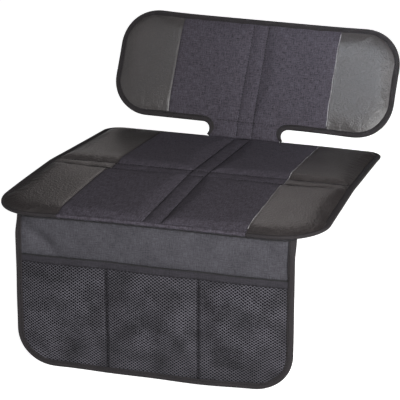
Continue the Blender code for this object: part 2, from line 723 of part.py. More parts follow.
def main():
    clear_scene()
    mat = new_collection("car_seat_protector_mat")
    fabric = new_material("woven_fabric", FABRIC_GREY, 0.85)
    leather = new_material("imitation_leather", LEATHER_GREY, 0.55)
    flap_cloth = new_material("flap_fabric", FLAP_GREY, 0.80)
    tape = new_material("edging_tape", TAPE_GREY, 0.75)
    net = new_material("pocket_net", NET_GREY, 0.80)
    foam = new_material("foam", FOAM_GREY, 0.95)
    underlay = new_material("non_slip_underlay", UNDERLAY_GREY, 0.90)
    frames = make_frames(mat)
    make_seat_underlay(mat, underlay)
    make_foams(frames, mat, foam)
    make_seat_centre_cover(mat, fabric)
    make_back_centre_cover(mat, fabric)
    for side, word in ((-1, "left"), (1, "right")):
        make_seat_side_cover(f"seat_cover_{word}", side, mat, leather)
        make_back_side_cover(f"back_cover_{word}", side, mat, leather)
    make_back_rear_cover(mat, underlay)
    make_seat_binding(mat, tape)
    make_back_binding(mat, tape)
    make_flap_panel(mat, flap_cloth)
    make_pocket_net(mat, net)
    make_pocket_hem(mat, flap_cloth)
    make_flap_binding(mat, tape)


main()
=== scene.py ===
# %% [markdown]
# A sewn car seat protector mat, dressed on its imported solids
#
# The mat has three stretches: a quilted seat section, a short back section that leans back from the
# seat's rear edge on a narrow neck, and a flap with net pockets that hangs from the front edge.
# Cloth could be pulled into shape by hand, but here each cloth is a sheet of points that a formula
# places on its stretch, so that every layer, tape and stitch follows the same few lines.
# Lengths are in metres, +Z is up, +X runs across the seat and +Y towards the seat back.

import math

import bpy
import numpy as np
from mathutils import Euler, Matrix


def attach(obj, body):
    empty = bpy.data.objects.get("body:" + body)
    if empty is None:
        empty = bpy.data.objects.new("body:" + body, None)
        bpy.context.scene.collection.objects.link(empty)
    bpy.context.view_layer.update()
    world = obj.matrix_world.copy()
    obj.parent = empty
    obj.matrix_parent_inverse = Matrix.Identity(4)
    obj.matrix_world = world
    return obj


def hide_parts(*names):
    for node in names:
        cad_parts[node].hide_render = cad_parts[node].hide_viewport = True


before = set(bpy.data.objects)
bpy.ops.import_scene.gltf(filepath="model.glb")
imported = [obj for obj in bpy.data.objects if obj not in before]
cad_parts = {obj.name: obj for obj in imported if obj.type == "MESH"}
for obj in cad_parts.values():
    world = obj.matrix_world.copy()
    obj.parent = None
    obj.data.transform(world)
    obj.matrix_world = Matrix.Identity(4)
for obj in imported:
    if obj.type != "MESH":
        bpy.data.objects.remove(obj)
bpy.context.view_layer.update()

# %% [markdown]
# The sizes are those of the solids, so every new piece lies where its solid does. Only the seat's
# rear corners are tighter, as in the photograph. These sizes are shared by many pieces, and any
# other size is named where it is first needed.

# %% Sizes of the padded sections
SEAT_WIDTH = 0.460
SEAT_DEPTH = 0.460
FRONT_DEPTH = 0.217  # front edge to the middle of the cross channel
SEAT_FRONT_RADIUS = 0.070
SEAT_REAR_RADIUS = 0.030  # the solids have 0.040
REAR_DIP = math.radians(4.6)  # the seat's rear half falls by this
BACK_HEIGHT = 0.176
BACK_RADIUS = 0.062
BACK_LEAN = math.radians(32.5)  # from upright
NECK_HALF = 0.059
SLOT_GAP = 0.023  # height of the slots beside the neck
BACK_TOP = SLOT_GAP + BACK_HEIGHT
CHANNEL_WIDTH = 0.025
CHANNEL_HALF = CHANNEL_WIDTH / 2
CHANNEL_START = FRONT_DEPTH - CHANNEL_HALF
CHANNEL_END = FRONT_DEPTH + CHANNEL_HALF
SEAM_U = 0.130  # where the imitation leather meets the cloth
EDGE_INSET = 0.0012  # a cover's own edge, inside the tape's fold
Y_FRONT = -0.1085
print(f"seat {SEAT_WIDTH} x {SEAT_DEPTH} m, back section {BACK_HEIGHT} m high")

# %% [markdown]
# Seen from the side, the seat's underside is a line that is level, bends through the cross channel
# and then falls by the dip. Its places are summed up once in fine steps and looked up after that,
# which is simpler than a formula with three cases.

# %% The three stretches
LINE_V = np.linspace(-0.02, 0.50, 1041)
LINE_ANGLE = REAR_DIP * np.clip((LINE_V - CHANNEL_START) / CHANNEL_WIDTH, 0, 1)
LINE_STEP = LINE_V[1] - LINE_V[0]
LINE_ALONG = np.cumsum(np.cos(LINE_ANGLE[:-1]) * LINE_STEP)
LINE_Y = Y_FRONT + LINE_V[0] + np.concatenate([[0], LINE_ALONG])
LINE_Z = -np.concatenate([[0], np.cumsum(np.sin(LINE_ANGLE[:-1]) * LINE_STEP)])
BACK_UP = np.array([0, math.sin(BACK_LEAN), math.cos(BACK_LEAN)])
BACK_NORMAL = np.array([0, -math.cos(BACK_LEAN), math.sin(BACK_LEAN)])


def smooth(share):
    """Runs from 0 to 1 with level ends: 3 s squared less 2 s cubed."""
    share = np.clip(share, 0, 1)
    return share * share * (3 - 2 * share)


def hill(*scaled):
    """Round hill of height 1: e to the minus sum of the squared distances."""
    return np.exp(-sum(s * s for s in scaled))


def seat_xyz(u, v, t):
    """Seat: u across, v along the underside from the front edge, t above it, square to the line."""
    u, v, t = np.broadcast_arrays(u, v, t)
    angle = np.interp(v, LINE_V, LINE_ANGLE)
    y = np.interp(v, LINE_V, LINE_Y) + t * np.sin(angle)
    z = np.interp(v, LINE_V, LINE_Z) + t * np.cos(angle)
    return np.stack([u, y, z], axis=-1)


LOW_MIDDLE = 0.0023  # height of a cover's middle where it is stitched down
LOW_TOP = LOW_MIDDLE + 0.0005
BACK_FOOT = seat_xyz(0.0, SEAT_DEPTH - EDGE_INSET + 0.0003, LOW_TOP) - BACK_NORMAL * LOW_TOP


def back_xyz(u, h, n):
    """Back section: u across, h up its leaning plane from the seat's rear edge, n before it."""
    u, h, n = np.broadcast_arrays(u, h, n)
    across = np.stack([u, np.zeros_like(u), np.zeros_like(u)], axis=-1)
    return BACK_FOOT + across + h[..., None] * BACK_UP + n[..., None] * BACK_NORMAL


print("the back section starts at", BACK_FOOT.round(4))

# %% [markdown]
# A hanging cloth is never flat. The flap's cloth, net, hem and tape all take their waves from one
# function, so they stay together. The photograph's waves are long and low, with one slanting crease
# in the upper left and a small pucker by the lower left corner. A number inside a sine is the turn
# of its wave in radians per metre, and one that divides is the width of a hill or a step.

# %% How the flap waves
LONG_WAVE, SHORT_WAVE, EDGE_WAVE = 0.0013, 0.0010, 0.0007
CREASE_DEPTH, CREASE_WIDTH, CREASE_LENGTH = 0.0056, 0.008, 0.026
CREASE_PLACE = (-0.165, -0.030)
RIPPLE = 0.0010
RIPPLE_PLACE = (-0.150, -0.195)


def flap_wave(u, z):
    """How far the flap stands forward: two sine waves across it that grow towards its foot, less a
    slanting groove that is a round hill along its length."""
    fall = smooth(-z / 0.20)
    waves = LONG_WAVE * np.sin(u * 21 + 0.6) + SHORT_WAVE * np.sin(u * 47 + z * 18 + 2.0)
    from_u, from_z = u - CREASE_PLACE[0], z - CREASE_PLACE[1]
    along, off = from_u * 0.80 - from_z * 0.60, from_u * 0.60 + from_z * 0.80
    crease = hill(off / CREASE_WIDTH, (along - 0.012) / CREASE_LENGTH)
    near = hill((u - RIPPLE_PLACE[0]) / 0.035, (z - RIPPLE_PLACE[1]) / 0.016)
    ripple = near * np.sin(u * 260 + z * 150)
    edge = smooth((np.abs(u) - 0.14) / 0.05) * np.sin(z * 75 + u * 12) * fall
    return waves * fall - CREASE_DEPTH * crease + RIPPLE * ripple + EDGE_WAVE * edge


def flap_xyz(u, z, y):
    """Flap: u across, z its height and y its layer, carried by the cloth's waves. Its top follows
    the seat's round corners: the corner's radius less the height of its arc there."""
    u, z, y = np.broadcast_arrays(u, z, y)
    past = np.clip(np.abs(u) - SEAT_WIDTH / 2 + SEAT_FRONT_RADIUS, 0, SEAT_FRONT_RADIUS)
    back = (SEAT_FRONT_RADIUS - np.sqrt(SEAT_FRONT_RADIUS**2 - past**2)) * smooth(1 + z / 0.03)
    return np.stack([u, y - flap_wave(u, z) + back, z], axis=-1)


ACROSS, DOWN = np.meshgrid(np.linspace(-0.19, 0.19, 39), np.linspace(-0.21, 0, 22))
print(f"the flap waves by {np.ptp(flap_wave(ACROSS, DOWN)) * 1000:.1f} mm")

# %% [markdown]
# A used mat hangs a little out of true. One smooth shift is given to every piece alike, because
# bending the pieces one by one would open gaps between them. It is summed up from a few places
# where the photograph's mat leaves the square one: the seat, the flap and the back section.

# %% How the used mat hangs out of true
CORNER_DROOP, CORNER_OUT = 0.0042, 0.0085
REAR_TWIST, REAR_DROOP = 0.0018, 0.0003
RIGHT_IN, RIGHT_REAR_IN, LEFT_REAR_IN = 0.0026, 0.0030, 0.0036
FOOT_RIGHT_UP, FOOT_LEFT_DOWN, FOOT_LEFT_OUT, FOOT_SAG = 0.0030, 0.0025, 0.0025, 0.0014
BACK_TURN = math.radians(1.0)
TOP_LEFT, TOP_RIGHT, LOW_RIGHT, TALLER = 0.0026, 0.0015, -0.0022, 0.0014


def settle_seat(x, y, z, on_seat):
    """Seat: round hills let its front left corner droop outwards, and smooth steps draw its right
    edge and its rear left corner in and twist its rear."""
    behind = smooth((y - 0.10) / 0.25)
    droop = hill((x + 0.23) / 0.10, (y - Y_FRONT) / 0.10) * np.exp(np.minimum(z, 0) / 0.10)
    down = CORNER_DROOP * droop + (REAR_TWIST * x / 0.23 + REAR_DROOP) * behind
    out = CORNER_OUT * hill((x + 0.23) / 0.11, (y - Y_FRONT) / 0.16)
    out += (RIGHT_IN + RIGHT_REAR_IN * behind) * smooth((x - 0.06) / 0.17)
    out -= LEFT_REAR_IN * behind * smooth((-x - 0.06) / 0.17)
    return -out * on_seat, -down


def settle_flap(x, y, z):
    """Flap: its foot rises at the right, falls and moves out at the left, and sags between."""
    lower = smooth(-z / 0.22) * (y < -0.05)
    up = FOOT_RIGHT_UP * smooth((x - 0.02) / 0.17) - FOOT_LEFT_DOWN * smooth((-x - 0.02) / 0.17)
    out = FOOT_LEFT_OUT * smooth((-x - 0.10) / 0.09)
    return -out * lower, (up - FOOT_SAG * hill((x + 0.05) / 0.12)) * lower


def settle_back(x, h):
    """Back section: a turn in its own plane, fuller top corners and a little more height."""
    turn = BACK_TURN * smooth(h / 0.035)
    top_left = TOP_LEFT * hill((x + 0.21) / 0.06, (h - 0.19) / 0.06)
    top_right = TOP_RIGHT * hill((x - 0.21) / 0.06, (h - 0.19) / 0.06)
    low_right = LOW_RIGHT * hill((x - 0.21) / 0.06, (h - 0.035) / 0.04)
    up = -x * np.sin(turn) + top_left + top_right + low_right + TALLER * smooth((h - 0.08) / 0.11)
    return (h - 0.10) * np.sin(turn) - top_left + top_right - low_right, up


def settle(points):
    """Adds the seat's, the flap's and the back section's shifts to points of any piece. What the
    seat sinks by is shared by what hangs on it, and its sideways shifts fade out there."""
    points = np.array(points, float)
    x, y, z = (points[..., k].copy() for k in range(3))
    h = (points - BACK_FOOT) @ BACK_UP
    on_flap = (y < -0.09) & (z < -0.0009)
    seat = settle_seat(x, y, z, (1 - smooth((h + 0.008) / 0.02)) * (1 - on_flap))
    flap, back = settle_flap(x, y, z), settle_back(x, h)
    points[..., 0] += seat[0] + flap[0] + back[0]
    points[..., 2] += seat[1] + flap[1]
    return points + back[1][..., None] * BACK_UP


FRONT_LEFT = np.array([-SEAT_WIDTH / 2, Y_FRONT, 0.0])
print("the seat's front left corner moves by", settle(FRONT_LEFT) - FRONT_LEFT)

# %% [markdown]
# Both padded sections are cut with round corners. A boolean cut would leave ragged faces, while how
# far a point lies inside such an outline is easy to work out, and the same number later shapes the
# padding along the edge.

# %% Round-cornered outlines
SEAT_OUTLINE = (SEAT_WIDTH / 2, 0.0, SEAT_DEPTH, SEAT_FRONT_RADIUS, SEAT_REAR_RADIUS)
BACK_OUTLINE = (SEAT_WIDTH / 2, SLOT_GAP, BACK_TOP, BACK_RADIUS, BACK_RADIUS)


def inside_distance(u, v, half, low, high, low_radius, high_radius):
    """Distance inside a round-cornered outline, less than nothing outside, and the way out.
    In a corner it is the radius less the distance from the corner's centre."""
    nearer_low = v - low < high - v
    radius = np.where(nearer_low, low_radius, high_radius)
    side, end = half - np.abs(u), np.where(nearer_low, v - low, high - v)
    a, b = np.maximum(radius - side, 0), np.maximum(radius - end, 0)
    in_corner = (a > 0) & (b > 0)
    reach = np.hypot(a, b)
    distance = np.where(in_corner, radius - reach, np.minimum(side, end))
    safe = np.where(reach > 0, reach, 1)
    out_u = np.where(in_corner, a / safe, side <= end) * np.sign(u)
    out_v = np.where(in_corner, b / safe, side > end) * np.where(nearer_low, -1, 1)
    return distance, out_u, out_v


print("the seat's middle is inside by", inside_distance(0.0, SEAT_DEPTH / 2, *SEAT_OUTLINE)[0])

# %% [markdown]
# A cloth is cut to its outline. A grid of points keeps its rows and columns on the stitching, which
# a triangulated outline wouldn't, and its points near the outline are moved onto it.

# %% Grids cut to an outline
def filled(stops, step):
    """Values from the first stop to the last that hit every stop, about one step apart."""
    parts = []
    for a, b in zip(stops[:-1], stops[1:]):
        parts.append(np.linspace(a, b, max(1, round((b - a) / step)), endpoint=False))
    return np.concatenate(parts + [[stops[-1]]])


def mirrored(stops):
    """Stops on both sides of the middle."""
    return sorted({-s for s in stops} | set(stops))


def grid_faces(kept):
    """Faces between a grid's kept points: squares, and triangles where one corner is missing."""
    number = np.full(kept.shape, -1)
    number[kept] = np.arange(kept.sum())
    corners = [number[:-1, :-1], number[:-1, 1:], number[1:, 1:], number[1:, :-1]]
    corners = np.stack(corners, axis=-1).reshape(-1, 4)
    held = (corners >= 0).sum(axis=1)
    threes = corners[held == 3]
    return corners[held == 4], threes[threes >= 0].reshape(-1, 3), number


def cut_sheet(us, vs, outline, inset, step, neck=None):
    """Flat sheet cut to an outline: a grid whose points near the outline are moved onto it. A neck
    of a given half width may run down from the outline's lower edge."""
    u, v = np.meshgrid(us, vs)
    distance, out_u, out_v = inside_distance(u, v, *outline)
    in_neck = np.zeros(u.shape, bool)
    foot = outline[1] + inset
    if neck:
        in_neck = (np.abs(u) <= neck + 1e-6) & (v < foot + 1e-6)
        distance = np.where(v > foot - 1e-6, distance, -1)
    kept = (distance > inset - step * 0.5) | in_neck
    near = kept & ~in_neck & (distance < inset + step * 0.5)
    u = np.where(near, u + out_u * (distance - inset), u)
    v = np.where(near, v + out_v * (distance - inset), v)
    quads, tris, number = grid_faces(kept)
    return u[kept], v[kept], quads, tris, number


print("stops 0 and 1 filled in steps of 0.3:", filled([0, 1], 0.3))

# %% [markdown]
# A tape, a hem or a thread is a section carried along a path, so its points are already in rows.
# Its faces only need their numbers, and an end that would be open is closed.

# %% Strips and tubes
def strip_faces(rows, columns, closed=False):
    """Faces of a grid of rows and columns, joined round if closed across its columns."""
    index = np.arange(rows * columns).reshape(rows, columns)
    right = np.roll(index, -1, axis=1) if closed else index[:, 1:]
    left = index if closed else index[:, :-1]
    return np.stack([left[:-1], right[:-1], right[1:], left[1:]], axis=-1).reshape(-1, 4)


def closed_tube(rows, sides):
    """Faces of a tube of rings, whose two ends are fans round their first point."""
    second = np.arange(1, sides - 1)
    fan = np.stack([0 * second, second, second + 1], axis=-1)
    last = fan + (rows - 1) * sides
    return strip_faces(rows, sides, closed=True).tolist() + fan[:, ::-1].tolist() + last.tolist()


print("a tube of 3 rings with 8 sides has", len(closed_tube(3, 8)), "faces")

# %% [markdown]
# Every piece is a mesh whose points are already in place, because the export puts each object at
# the origin. A sheet gets its thickness from Solidify and its roundness from Subdivision Surface,
# which is less work than modelling both faces and can be changed later.

# %% Making a piece
def new_piece(name, points, quads, material, tris=None, uv=None):
    """Mesh object from whole arrays of points, settled like the rest, which rides on the mat."""
    points = settle(np.asarray(points, float).reshape(-1, 3))
    faces = quads if isinstance(quads, list) else quads.tolist()
    faces = faces + ([] if tris is None else tris.tolist())
    mesh = bpy.data.meshes.new(name)
    mesh.from_pydata(points.tolist(), [], faces)
    if uv is not None:
        layer = mesh.uv_layers.new(name="sheet")
        loops = np.zeros(len(mesh.loops), np.int32)
        mesh.loops.foreach_get("vertex_index", loops)
        layer.data.foreach_set("uv", np.asarray(uv, float).reshape(-1, 2)[loops].ravel())
    mesh.materials.append(material)
    mesh.shade_smooth()
    piece = bpy.data.objects.new(name, mesh)
    bpy.context.scene.collection.objects.link(piece)
    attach(piece, "root")
    print(f"{name}: {len(points)} points, {len(faces)} faces")
    return piece


def subdivided(piece, levels=1):
    """Rounds a piece with a subdivision surface."""
    finer = piece.modifiers.new("finer", "SUBSURF")
    finer.levels = finer.render_levels = levels
    return piece


def thicken(piece, thickness):
    """Gives a sheet its thickness, half to each side."""
    solid = piece.modifiers.new("thickness", "SOLIDIFY")
    solid.thickness = thickness
    solid.offset = 0.0
    return piece


# %% [markdown]
# Cloth, coated cloth, tape and net are made from nodes. A picture of cloth would blur close up and
# repeat, while nodes stay sharp. Patterns lie on each sheet's own UV map, which is in metres along
# the cloth, so a noise scale of 500 means features about 2 mm wide.

# %% Node helpers
def linear(code):
    """Linear colour of an sRGB hex code."""
    parts = [int(code[i : i + 2], 16) / 255 for i in (0, 2, 4)]
    parts = [p / 12.92 if p <= 0.04045 else ((p + 0.055) / 1.055) ** 2.4 for p in parts]
    return (*parts, 1.0)


def add_node(tree, kind, inputs, output=0, **settings):
    """Adds a node with its settings and hands back one of its outputs. An input given as another
    node's output is linked, and any other value is set."""
    made = tree.nodes.new("ShaderNode" + kind)
    for key, value in settings.items():
        setattr(made, key, value)
    for key, value in inputs.items():
        if isinstance(value, bpy.types.NodeSocket):
            tree.links.new(value, made.inputs[key])
        else:
            made.inputs[key].default_value = value
    return made.outputs[output]


def new_material(name, colour, roughness, specular):
    """Principled material with its constant values on the shader's own sockets."""
    made = bpy.data.materials.new(name)
    made.use_nodes = True
    shader = made.node_tree.nodes["Principled BSDF"]
    shader.inputs["Base Color"].default_value = linear(colour)
    shader.inputs["Roughness"].default_value = roughness
    shader.inputs["Specular IOR Level"].default_value = specular
    print("material", name)
    return made, made.node_tree, shader


def added_up(tree, start, *pairs):
    """A starting number plus each value times its weight."""
    for value, weight in pairs:
        start = add_node(tree, "Math", {0: value, 1: weight, 2: start}, operation="MULTIPLY_ADD")
    return start


BUMP_STRENGTH = 0.8


def finish_surface(tree, shader, tone, dark, light, height, depth):
    """Links a colour between two sRGB colours and a bump whose depth is in millimetres."""
    ends = {6: linear(dark), 7: linear(light)}
    colour = add_node(tree, "Mix", {0: tone, **ends}, 2, data_type="RGBA")
    relief = {"Height": height, "Distance": depth / 1000, "Strength": BUMP_STRENGTH}
    bump = add_node(tree, "Bump", relief)
    tree.links.new(colour, shader.inputs["Base Color"])
    tree.links.new(bump, shader.inputs["Normal"])
    return colour


print("mid grey 808080 is linear", round(linear("808080")[0], 3))

# %% [markdown]
# The seat, the back and the flap are polyester cloth in a plain weave: warp and weft lie on top in
# turn, like a chequerboard. The real threads are about 0.4 mm apart, which is too fine to show, so
# the weave is drawn at 1.2 mm, and at 1.0 mm on the flap. Thicker threads, called slubs, run both
# ways as short streaks, and they are what the eye reads as cloth from a distance. It is matt, so
# its specular level is low.

# %% Woven polyester
SLUB_LONG, SLUB_THICK = 100, 750  # per metre: slubs about 10 mm long and 1.3 mm thick
FUZZ_SCALE = 600.0  # tufts about 1.7 mm wide
WEAR_SCALE = 28.0  # worn places about 36 mm wide
HEM_TOP = -0.058  # height of the pockets' mouth


def woven(name, dark, light, pitch, slub, wear, painted_net_shade=None):
    """Plain weave: each set of ribs is the absolute sine across the threads, and the product of the
    two sines says which set is on top. Noise stretched along each set makes the slubs. A painted
    net shade is a darker colour for the cloth below the hem: painted shade where the nets shade it."""
    made, tree, shader = new_material(name, light, 0.85, 0.08)
    sheet = add_node(tree, "TexCoord", {}, "UV")
    sines, ribs, slubs = [], [], []
    stretches = {"X": (SLUB_LONG, SLUB_THICK, 1000), "Y": (SLUB_THICK, SLUB_LONG, 1000)}
    for axis, stretch in stretches.items():
        place = add_node(tree, "SeparateXYZ", {0: sheet}, axis)
        angle = add_node(tree, "Math", {0: place, 1: 1000 * math.pi / pitch}, operation="MULTIPLY")
        sines.append(add_node(tree, "Math", {0: angle}, operation="SINE"))
        ribs.append(add_node(tree, "Math", {0: sines[-1]}, operation="ABSOLUTE"))
        along = add_node(tree, "Mapping", {0: sheet, "Scale": stretch})
        slubs.append(add_node(tree, "TexNoise", {"Vector": along, "Scale": 1.0, "Detail": 2.0}))
    both = add_node(tree, "Math", {0: sines[0], 1: sines[1]}, operation="MULTIPLY")
    rib = add_node(tree, "Mix", {0: added_up(tree, 0.5, (both, 0.5)), 2: ribs[0], 3: ribs[1]})
    fuzz = add_node(tree, "TexNoise", {"Vector": sheet, "Scale": FUZZ_SCALE, "Detail": 2.0})
    blotches = add_node(tree, "TexNoise", {"Vector": sheet, "Scale": WEAR_SCALE, "Detail": 4.0})
    centred = 0.42 - 1.5 * slub - 0.5 * wear
    parts = [(slubs[0], slub), (slubs[1], slub), (fuzz, slub), (blotches, wear)]
    tone = added_up(tree, centred, (rib, 0.20), *parts)
    height = added_up(tree, 0.0, (rib, 0.6), (slubs[0], 0.7), (slubs[1], 0.7))
    colour = finish_surface(tree, shader, tone, dark, light, height, 0.22)
    # Painted shade: below the hem the cloth's colour runs to a darker one, which stands for the
    # nets' shadow.
    if painted_net_shade:
        height = add_node(tree, "SeparateXYZ", {0: sheet}, "Y")
        below = add_node(tree, "MapRange", {0: height, 1: HEM_TOP - 0.003, 2: HEM_TOP - 0.006})
        ends = {6: colour, 7: linear(painted_net_shade)}
        colour = add_node(tree, "Mix", {0: below, **ends}, 2, data_type="RGBA")
        tree.links.new(colour, shader.inputs["Base Color"])
    return made


FABRIC = woven("woven_fabric", "29262A", "4C4850", 1.2, 1.5, 0.25)
# The flap's cloth is painted darker below the hem, as painted shade of the nets.
FLAP_CLOTH = woven("flap_fabric", "2D2C30", "4C4B50", 1.0, 1.0, 0.8, painted_net_shade="1B1A1D")
HEM_CLOTH = woven("hem_fabric", "201F22", "38363B", 1.0, 0.9, 0.5)

# %% [markdown]
# The side panels are imitation leather: cloth coated with soft plastic and pressed with a pebble
# grain. The coating is darker than the cloth but glossier, so it is nearly black where nothing
# bright is mirrored and pale where the light is. The real grain is under 1 mm and is drawn 2.6 mm
# wide, so that its points of light show.

# %% Imitation leather
PEBBLE_SCALE = 380.0  # per metre: pebbles 2.6 mm wide
PORE_SCALE = 900.0  # pores about 1.1 mm wide
RUB_SCALE = 22.0  # rubbed places about 45 mm wide


def make_leather():
    """Pebbles are the smoothed distance to scattered points, roughened by fine noise."""
    made, tree, shader = new_material("imitation_leather", "474344", 0.46, 0.55)
    sheet = add_node(tree, "TexCoord", {}, "UV")
    grain = {"Vector": sheet, "Scale": PEBBLE_SCALE, "Smoothness": 0.5}
    cells = add_node(tree, "TexVoronoi", grain, feature="SMOOTH_F1")
    fine = add_node(tree, "TexNoise", {"Vector": sheet, "Scale": PORE_SCALE, "Detail": 3.0})
    broad = add_node(tree, "TexNoise", {"Vector": sheet, "Scale": RUB_SCALE, "Detail": 3.0})
    height = added_up(tree, 0.0, (cells, 1.0), (fine, 0.8))
    tone = added_up(tree, -0.50, (height, 0.65), (broad, 0.8))
    finish_surface(tree, shader, tone, "171414", "2F2A2A", height, 0.50)
    rough = added_up(tree, 0.24, (broad, 0.14), (fine, 0.18))
    tree.links.new(rough, shader.inputs["Roughness"])
    return made


LEATHER = make_leather()

# %% [markdown]
# The edging is a woven tape with fine ribs across its run. It is black and a little furry. Its real
# ribs are about 0.8 mm apart, and they are drawn a little coarser so that they show.

# %% Edging tape
RIB_PITCH = 1.3  # millimetres
FUR_SCALE = 800.0  # per metre: fur about 1.3 mm wide


def make_tape():
    """Ribs are a sine along the tape, one to each pitch, with noise for the fur."""
    made, tree, shader = new_material("edging_tape", "2C292A", 0.80, 0.20)
    sheet = add_node(tree, "TexCoord", {}, "UV")
    place = add_node(tree, "SeparateXYZ", {0: sheet}, "X")
    angle = add_node(tree, "Math", {0: place, 1: 2000 * math.pi / RIB_PITCH}, operation="MULTIPLY")
    ribs = add_node(tree, "Math", {0: angle}, operation="SINE")
    fuzz = add_node(tree, "TexNoise", {"Vector": sheet, "Scale": FUR_SCALE, "Detail": 3.0})
    along = add_node(tree, "Mapping", {0: sheet, "Scale": (30, 900, 1000)})
    streaks = add_node(tree, "TexNoise", {"Vector": along, "Scale": 1.0, "Detail": 2.0})
    tone = added_up(tree, -0.35, (fuzz, 0.8), (ribs, 0.15), (streaks, 0.8))
    height = added_up(tree, 0.0, (ribs, 0.35), (fuzz, 0.6))
    finish_surface(tree, shader, tone, "121112", "312D2F", height, 0.25)
    return made


TAPE = make_tape()

# %% [markdown]
# Several small things need no more than a base colour broken up by noise. The folded edge of a
# leather panel is pale grey, a painted highlight where its raised edge catches the light. The net
# is knitted from polyester yarn, which catches the light better than cloth and is worn unevenly.
# The cords at the pockets' mouth and under the seat's lip are nearly black, painted shade for the
# dark gaps there, the sewing thread is nearly black, and the foam inside is pale grey with small
# pores.

# %% Plain threads, edges and foam
def mottled(name, dark, light, roughness, specular, scales, depth):
    """Noise of two sizes, as scales per metre, runs between two colours, and the finer one is also
    the bump."""
    made, tree, shader = new_material(name, light, roughness, specular)
    place = add_node(tree, "TexCoord", {}, "Object")
    fine, broad = (
        add_node(tree, "TexNoise", {"Vector": place, "Scale": scale, "Detail": 3.0})
        for scale in scales
    )
    tone = added_up(tree, -1.15, (fine, 1.0), (broad, 2.3))
    finish_surface(tree, shader, tone, dark, light, fine, depth)
    return made


# Pale grey: a painted highlight on the right seams' raised edge.
SEAM_HIGHLIGHT_EDGE = mottled("seam_edge_painted_highlight", "5A5859", "A4A2A6", 0.8, 0.3, (350.0, 40.0), 0.1)
# Nearly black: painted shade, for the cords at the pockets' mouth and under the seat's lip.
SHADE_CORD = mottled("cord_painted_shade", "0C0C0D", "181719", 0.8, 0.3, (350.0, 40.0), 0.1)
NET = mottled("pocket_net", "242327", "525057", 0.6, 0.3, (900.0, 30.0), 0.1)
THREAD = mottled("sewing_thread", "0C0B0D", "1C1A1D", 0.6, 0.15, (900.0, 40.0), 0.1)
FOAM = mottled("foam", "A8A8A8", "DADADA", 0.95, 0.1, (1200.0, 40.0), 0.4)

# %% [markdown]
# The underside has a matt cloth with rows of small rubber dots, printed on, that stop the mat from
# sliding and shine a little. It isn't in the photograph, so it is the plain common kind.

# %% Non-slip cloth
DOT_PITCH = 5.0  # millimetres
BACKING_SCALE = 900.0  # per metre: fibres about 1.1 mm wide


def make_non_slip():
    """Dots stand where the sum of two cosines is high."""
    made, tree, shader = new_material("non_slip_underlay", "2A2A2C", 0.80, 0.3)
    sheet = add_node(tree, "TexCoord", {}, "UV")
    peaks = []
    turns = 2000 * math.pi / DOT_PITCH
    for axis in "XY":
        place = add_node(tree, "SeparateXYZ", {0: sheet}, axis)
        angle = add_node(tree, "Math", {0: place, 1: turns}, operation="MULTIPLY")
        peaks.append(add_node(tree, "Math", {0: angle}, operation="COSINE"))
    both = added_up(tree, 0.0, (peaks[0], 1.0), (peaks[1], 1.0))
    limits = {0: both, 1: 1.0, 2: 1.45}
    dots = add_node(tree, "MapRange", limits, interpolation_type="SMOOTHSTEP")
    weave = add_node(tree, "TexNoise", {"Vector": sheet, "Scale": BACKING_SCALE, "Detail": 3.0})
    tone = added_up(tree, 0.3, (dots, 0.9), (weave, -0.5))
    height = added_up(tree, 0.0, (dots, 1.0), (weave, 0.15))
    finish_surface(tree, shader, tone, "38383A", "19191A", height, 0.6)
    tree.links.new(added_up(tree, 0.88, (dots, -0.30)), shader.inputs["Roughness"])
    return made


NON_SLIP = make_non_slip()

# %% [markdown]
# The padded sections. Each has one cover over several foam boards, stitched down along channels
# and under the edging. The cover is one sheet until its shape is final and is cut at the leather
# seams after that, so that neighbouring panels meet exactly.
#
# Its starting shape comes from the distance to the nearest stitching: it climbs from there like a
# quarter of a circle and is level over the foam.

# %% Padding
GRID = 0.0035
CREASE = 0.0013  # fine grid step beside a row of stitching
PAD_START = 0.0093  # from the outer edge to the tape's inner edge
LIP_WIDTH = 0.0050  # the front edge has a narrow lip of cloth in place of tape
FIELD_RISE = 0.0044  # how far a padded field stands above its stitching
STRIP_RISE = 0.0017  # and the unpadded strip between two rows of stitching
STRIP_REACH = 0.007


def beside(stop, far=2.6):
    """A row of stitching with two finer grid lines on each side of it."""
    return [stop - far * CREASE, stop - CREASE, stop, stop + CREASE, stop + far * CREASE]


def cover_columns():
    """Columns that hit the edges, the seams and the channel's stitching, finer beside these."""
    stops = [0.0, *beside(CHANNEL_HALF), NECK_HALF - EDGE_INSET, *beside(SEAM_U, 2)]
    return filled(mirrored(stops + [SEAT_WIDTH / 2 - EDGE_INSET]), GRID)


def quarter(distance, reach):
    """Rises from 0 to 1 over a reach like a quarter of a circle."""
    share = 1 - np.clip(distance / reach, 0, 1)
    return np.sqrt(1 - share * share)


def padding(edge, rows, in_strip, reach):
    """Height of the cover's middle. Rows are the distances to each row of stitching."""
    nearest = np.minimum.reduce([edge, *rows])
    field = FIELD_RISE * quarter(nearest, reach)
    rise = np.where(in_strip, STRIP_RISE * quarter(nearest, STRIP_REACH), field)
    return LOW_MIDDLE + np.where(edge > 0, rise, 0)


print(len(cover_columns()), "columns of points across a cover")

# %% [markdown]
# Sewn pads are never even: the foam makes long soft swells, and the thread gathers the cloth into
# puckers. Both could be a bump in the material, but then the pads' outline and their shine would
# stay machine-made, so they are shape.

# %% Unevenness of the quilting
SWELL_HEIGHT = 0.00022
PUCKER_HEIGHT = 0.00038
PUCKER_REACH = 0.008  # from the channels' stitching
EDGE_PUCKER_REACH = 0.010  # from the edging


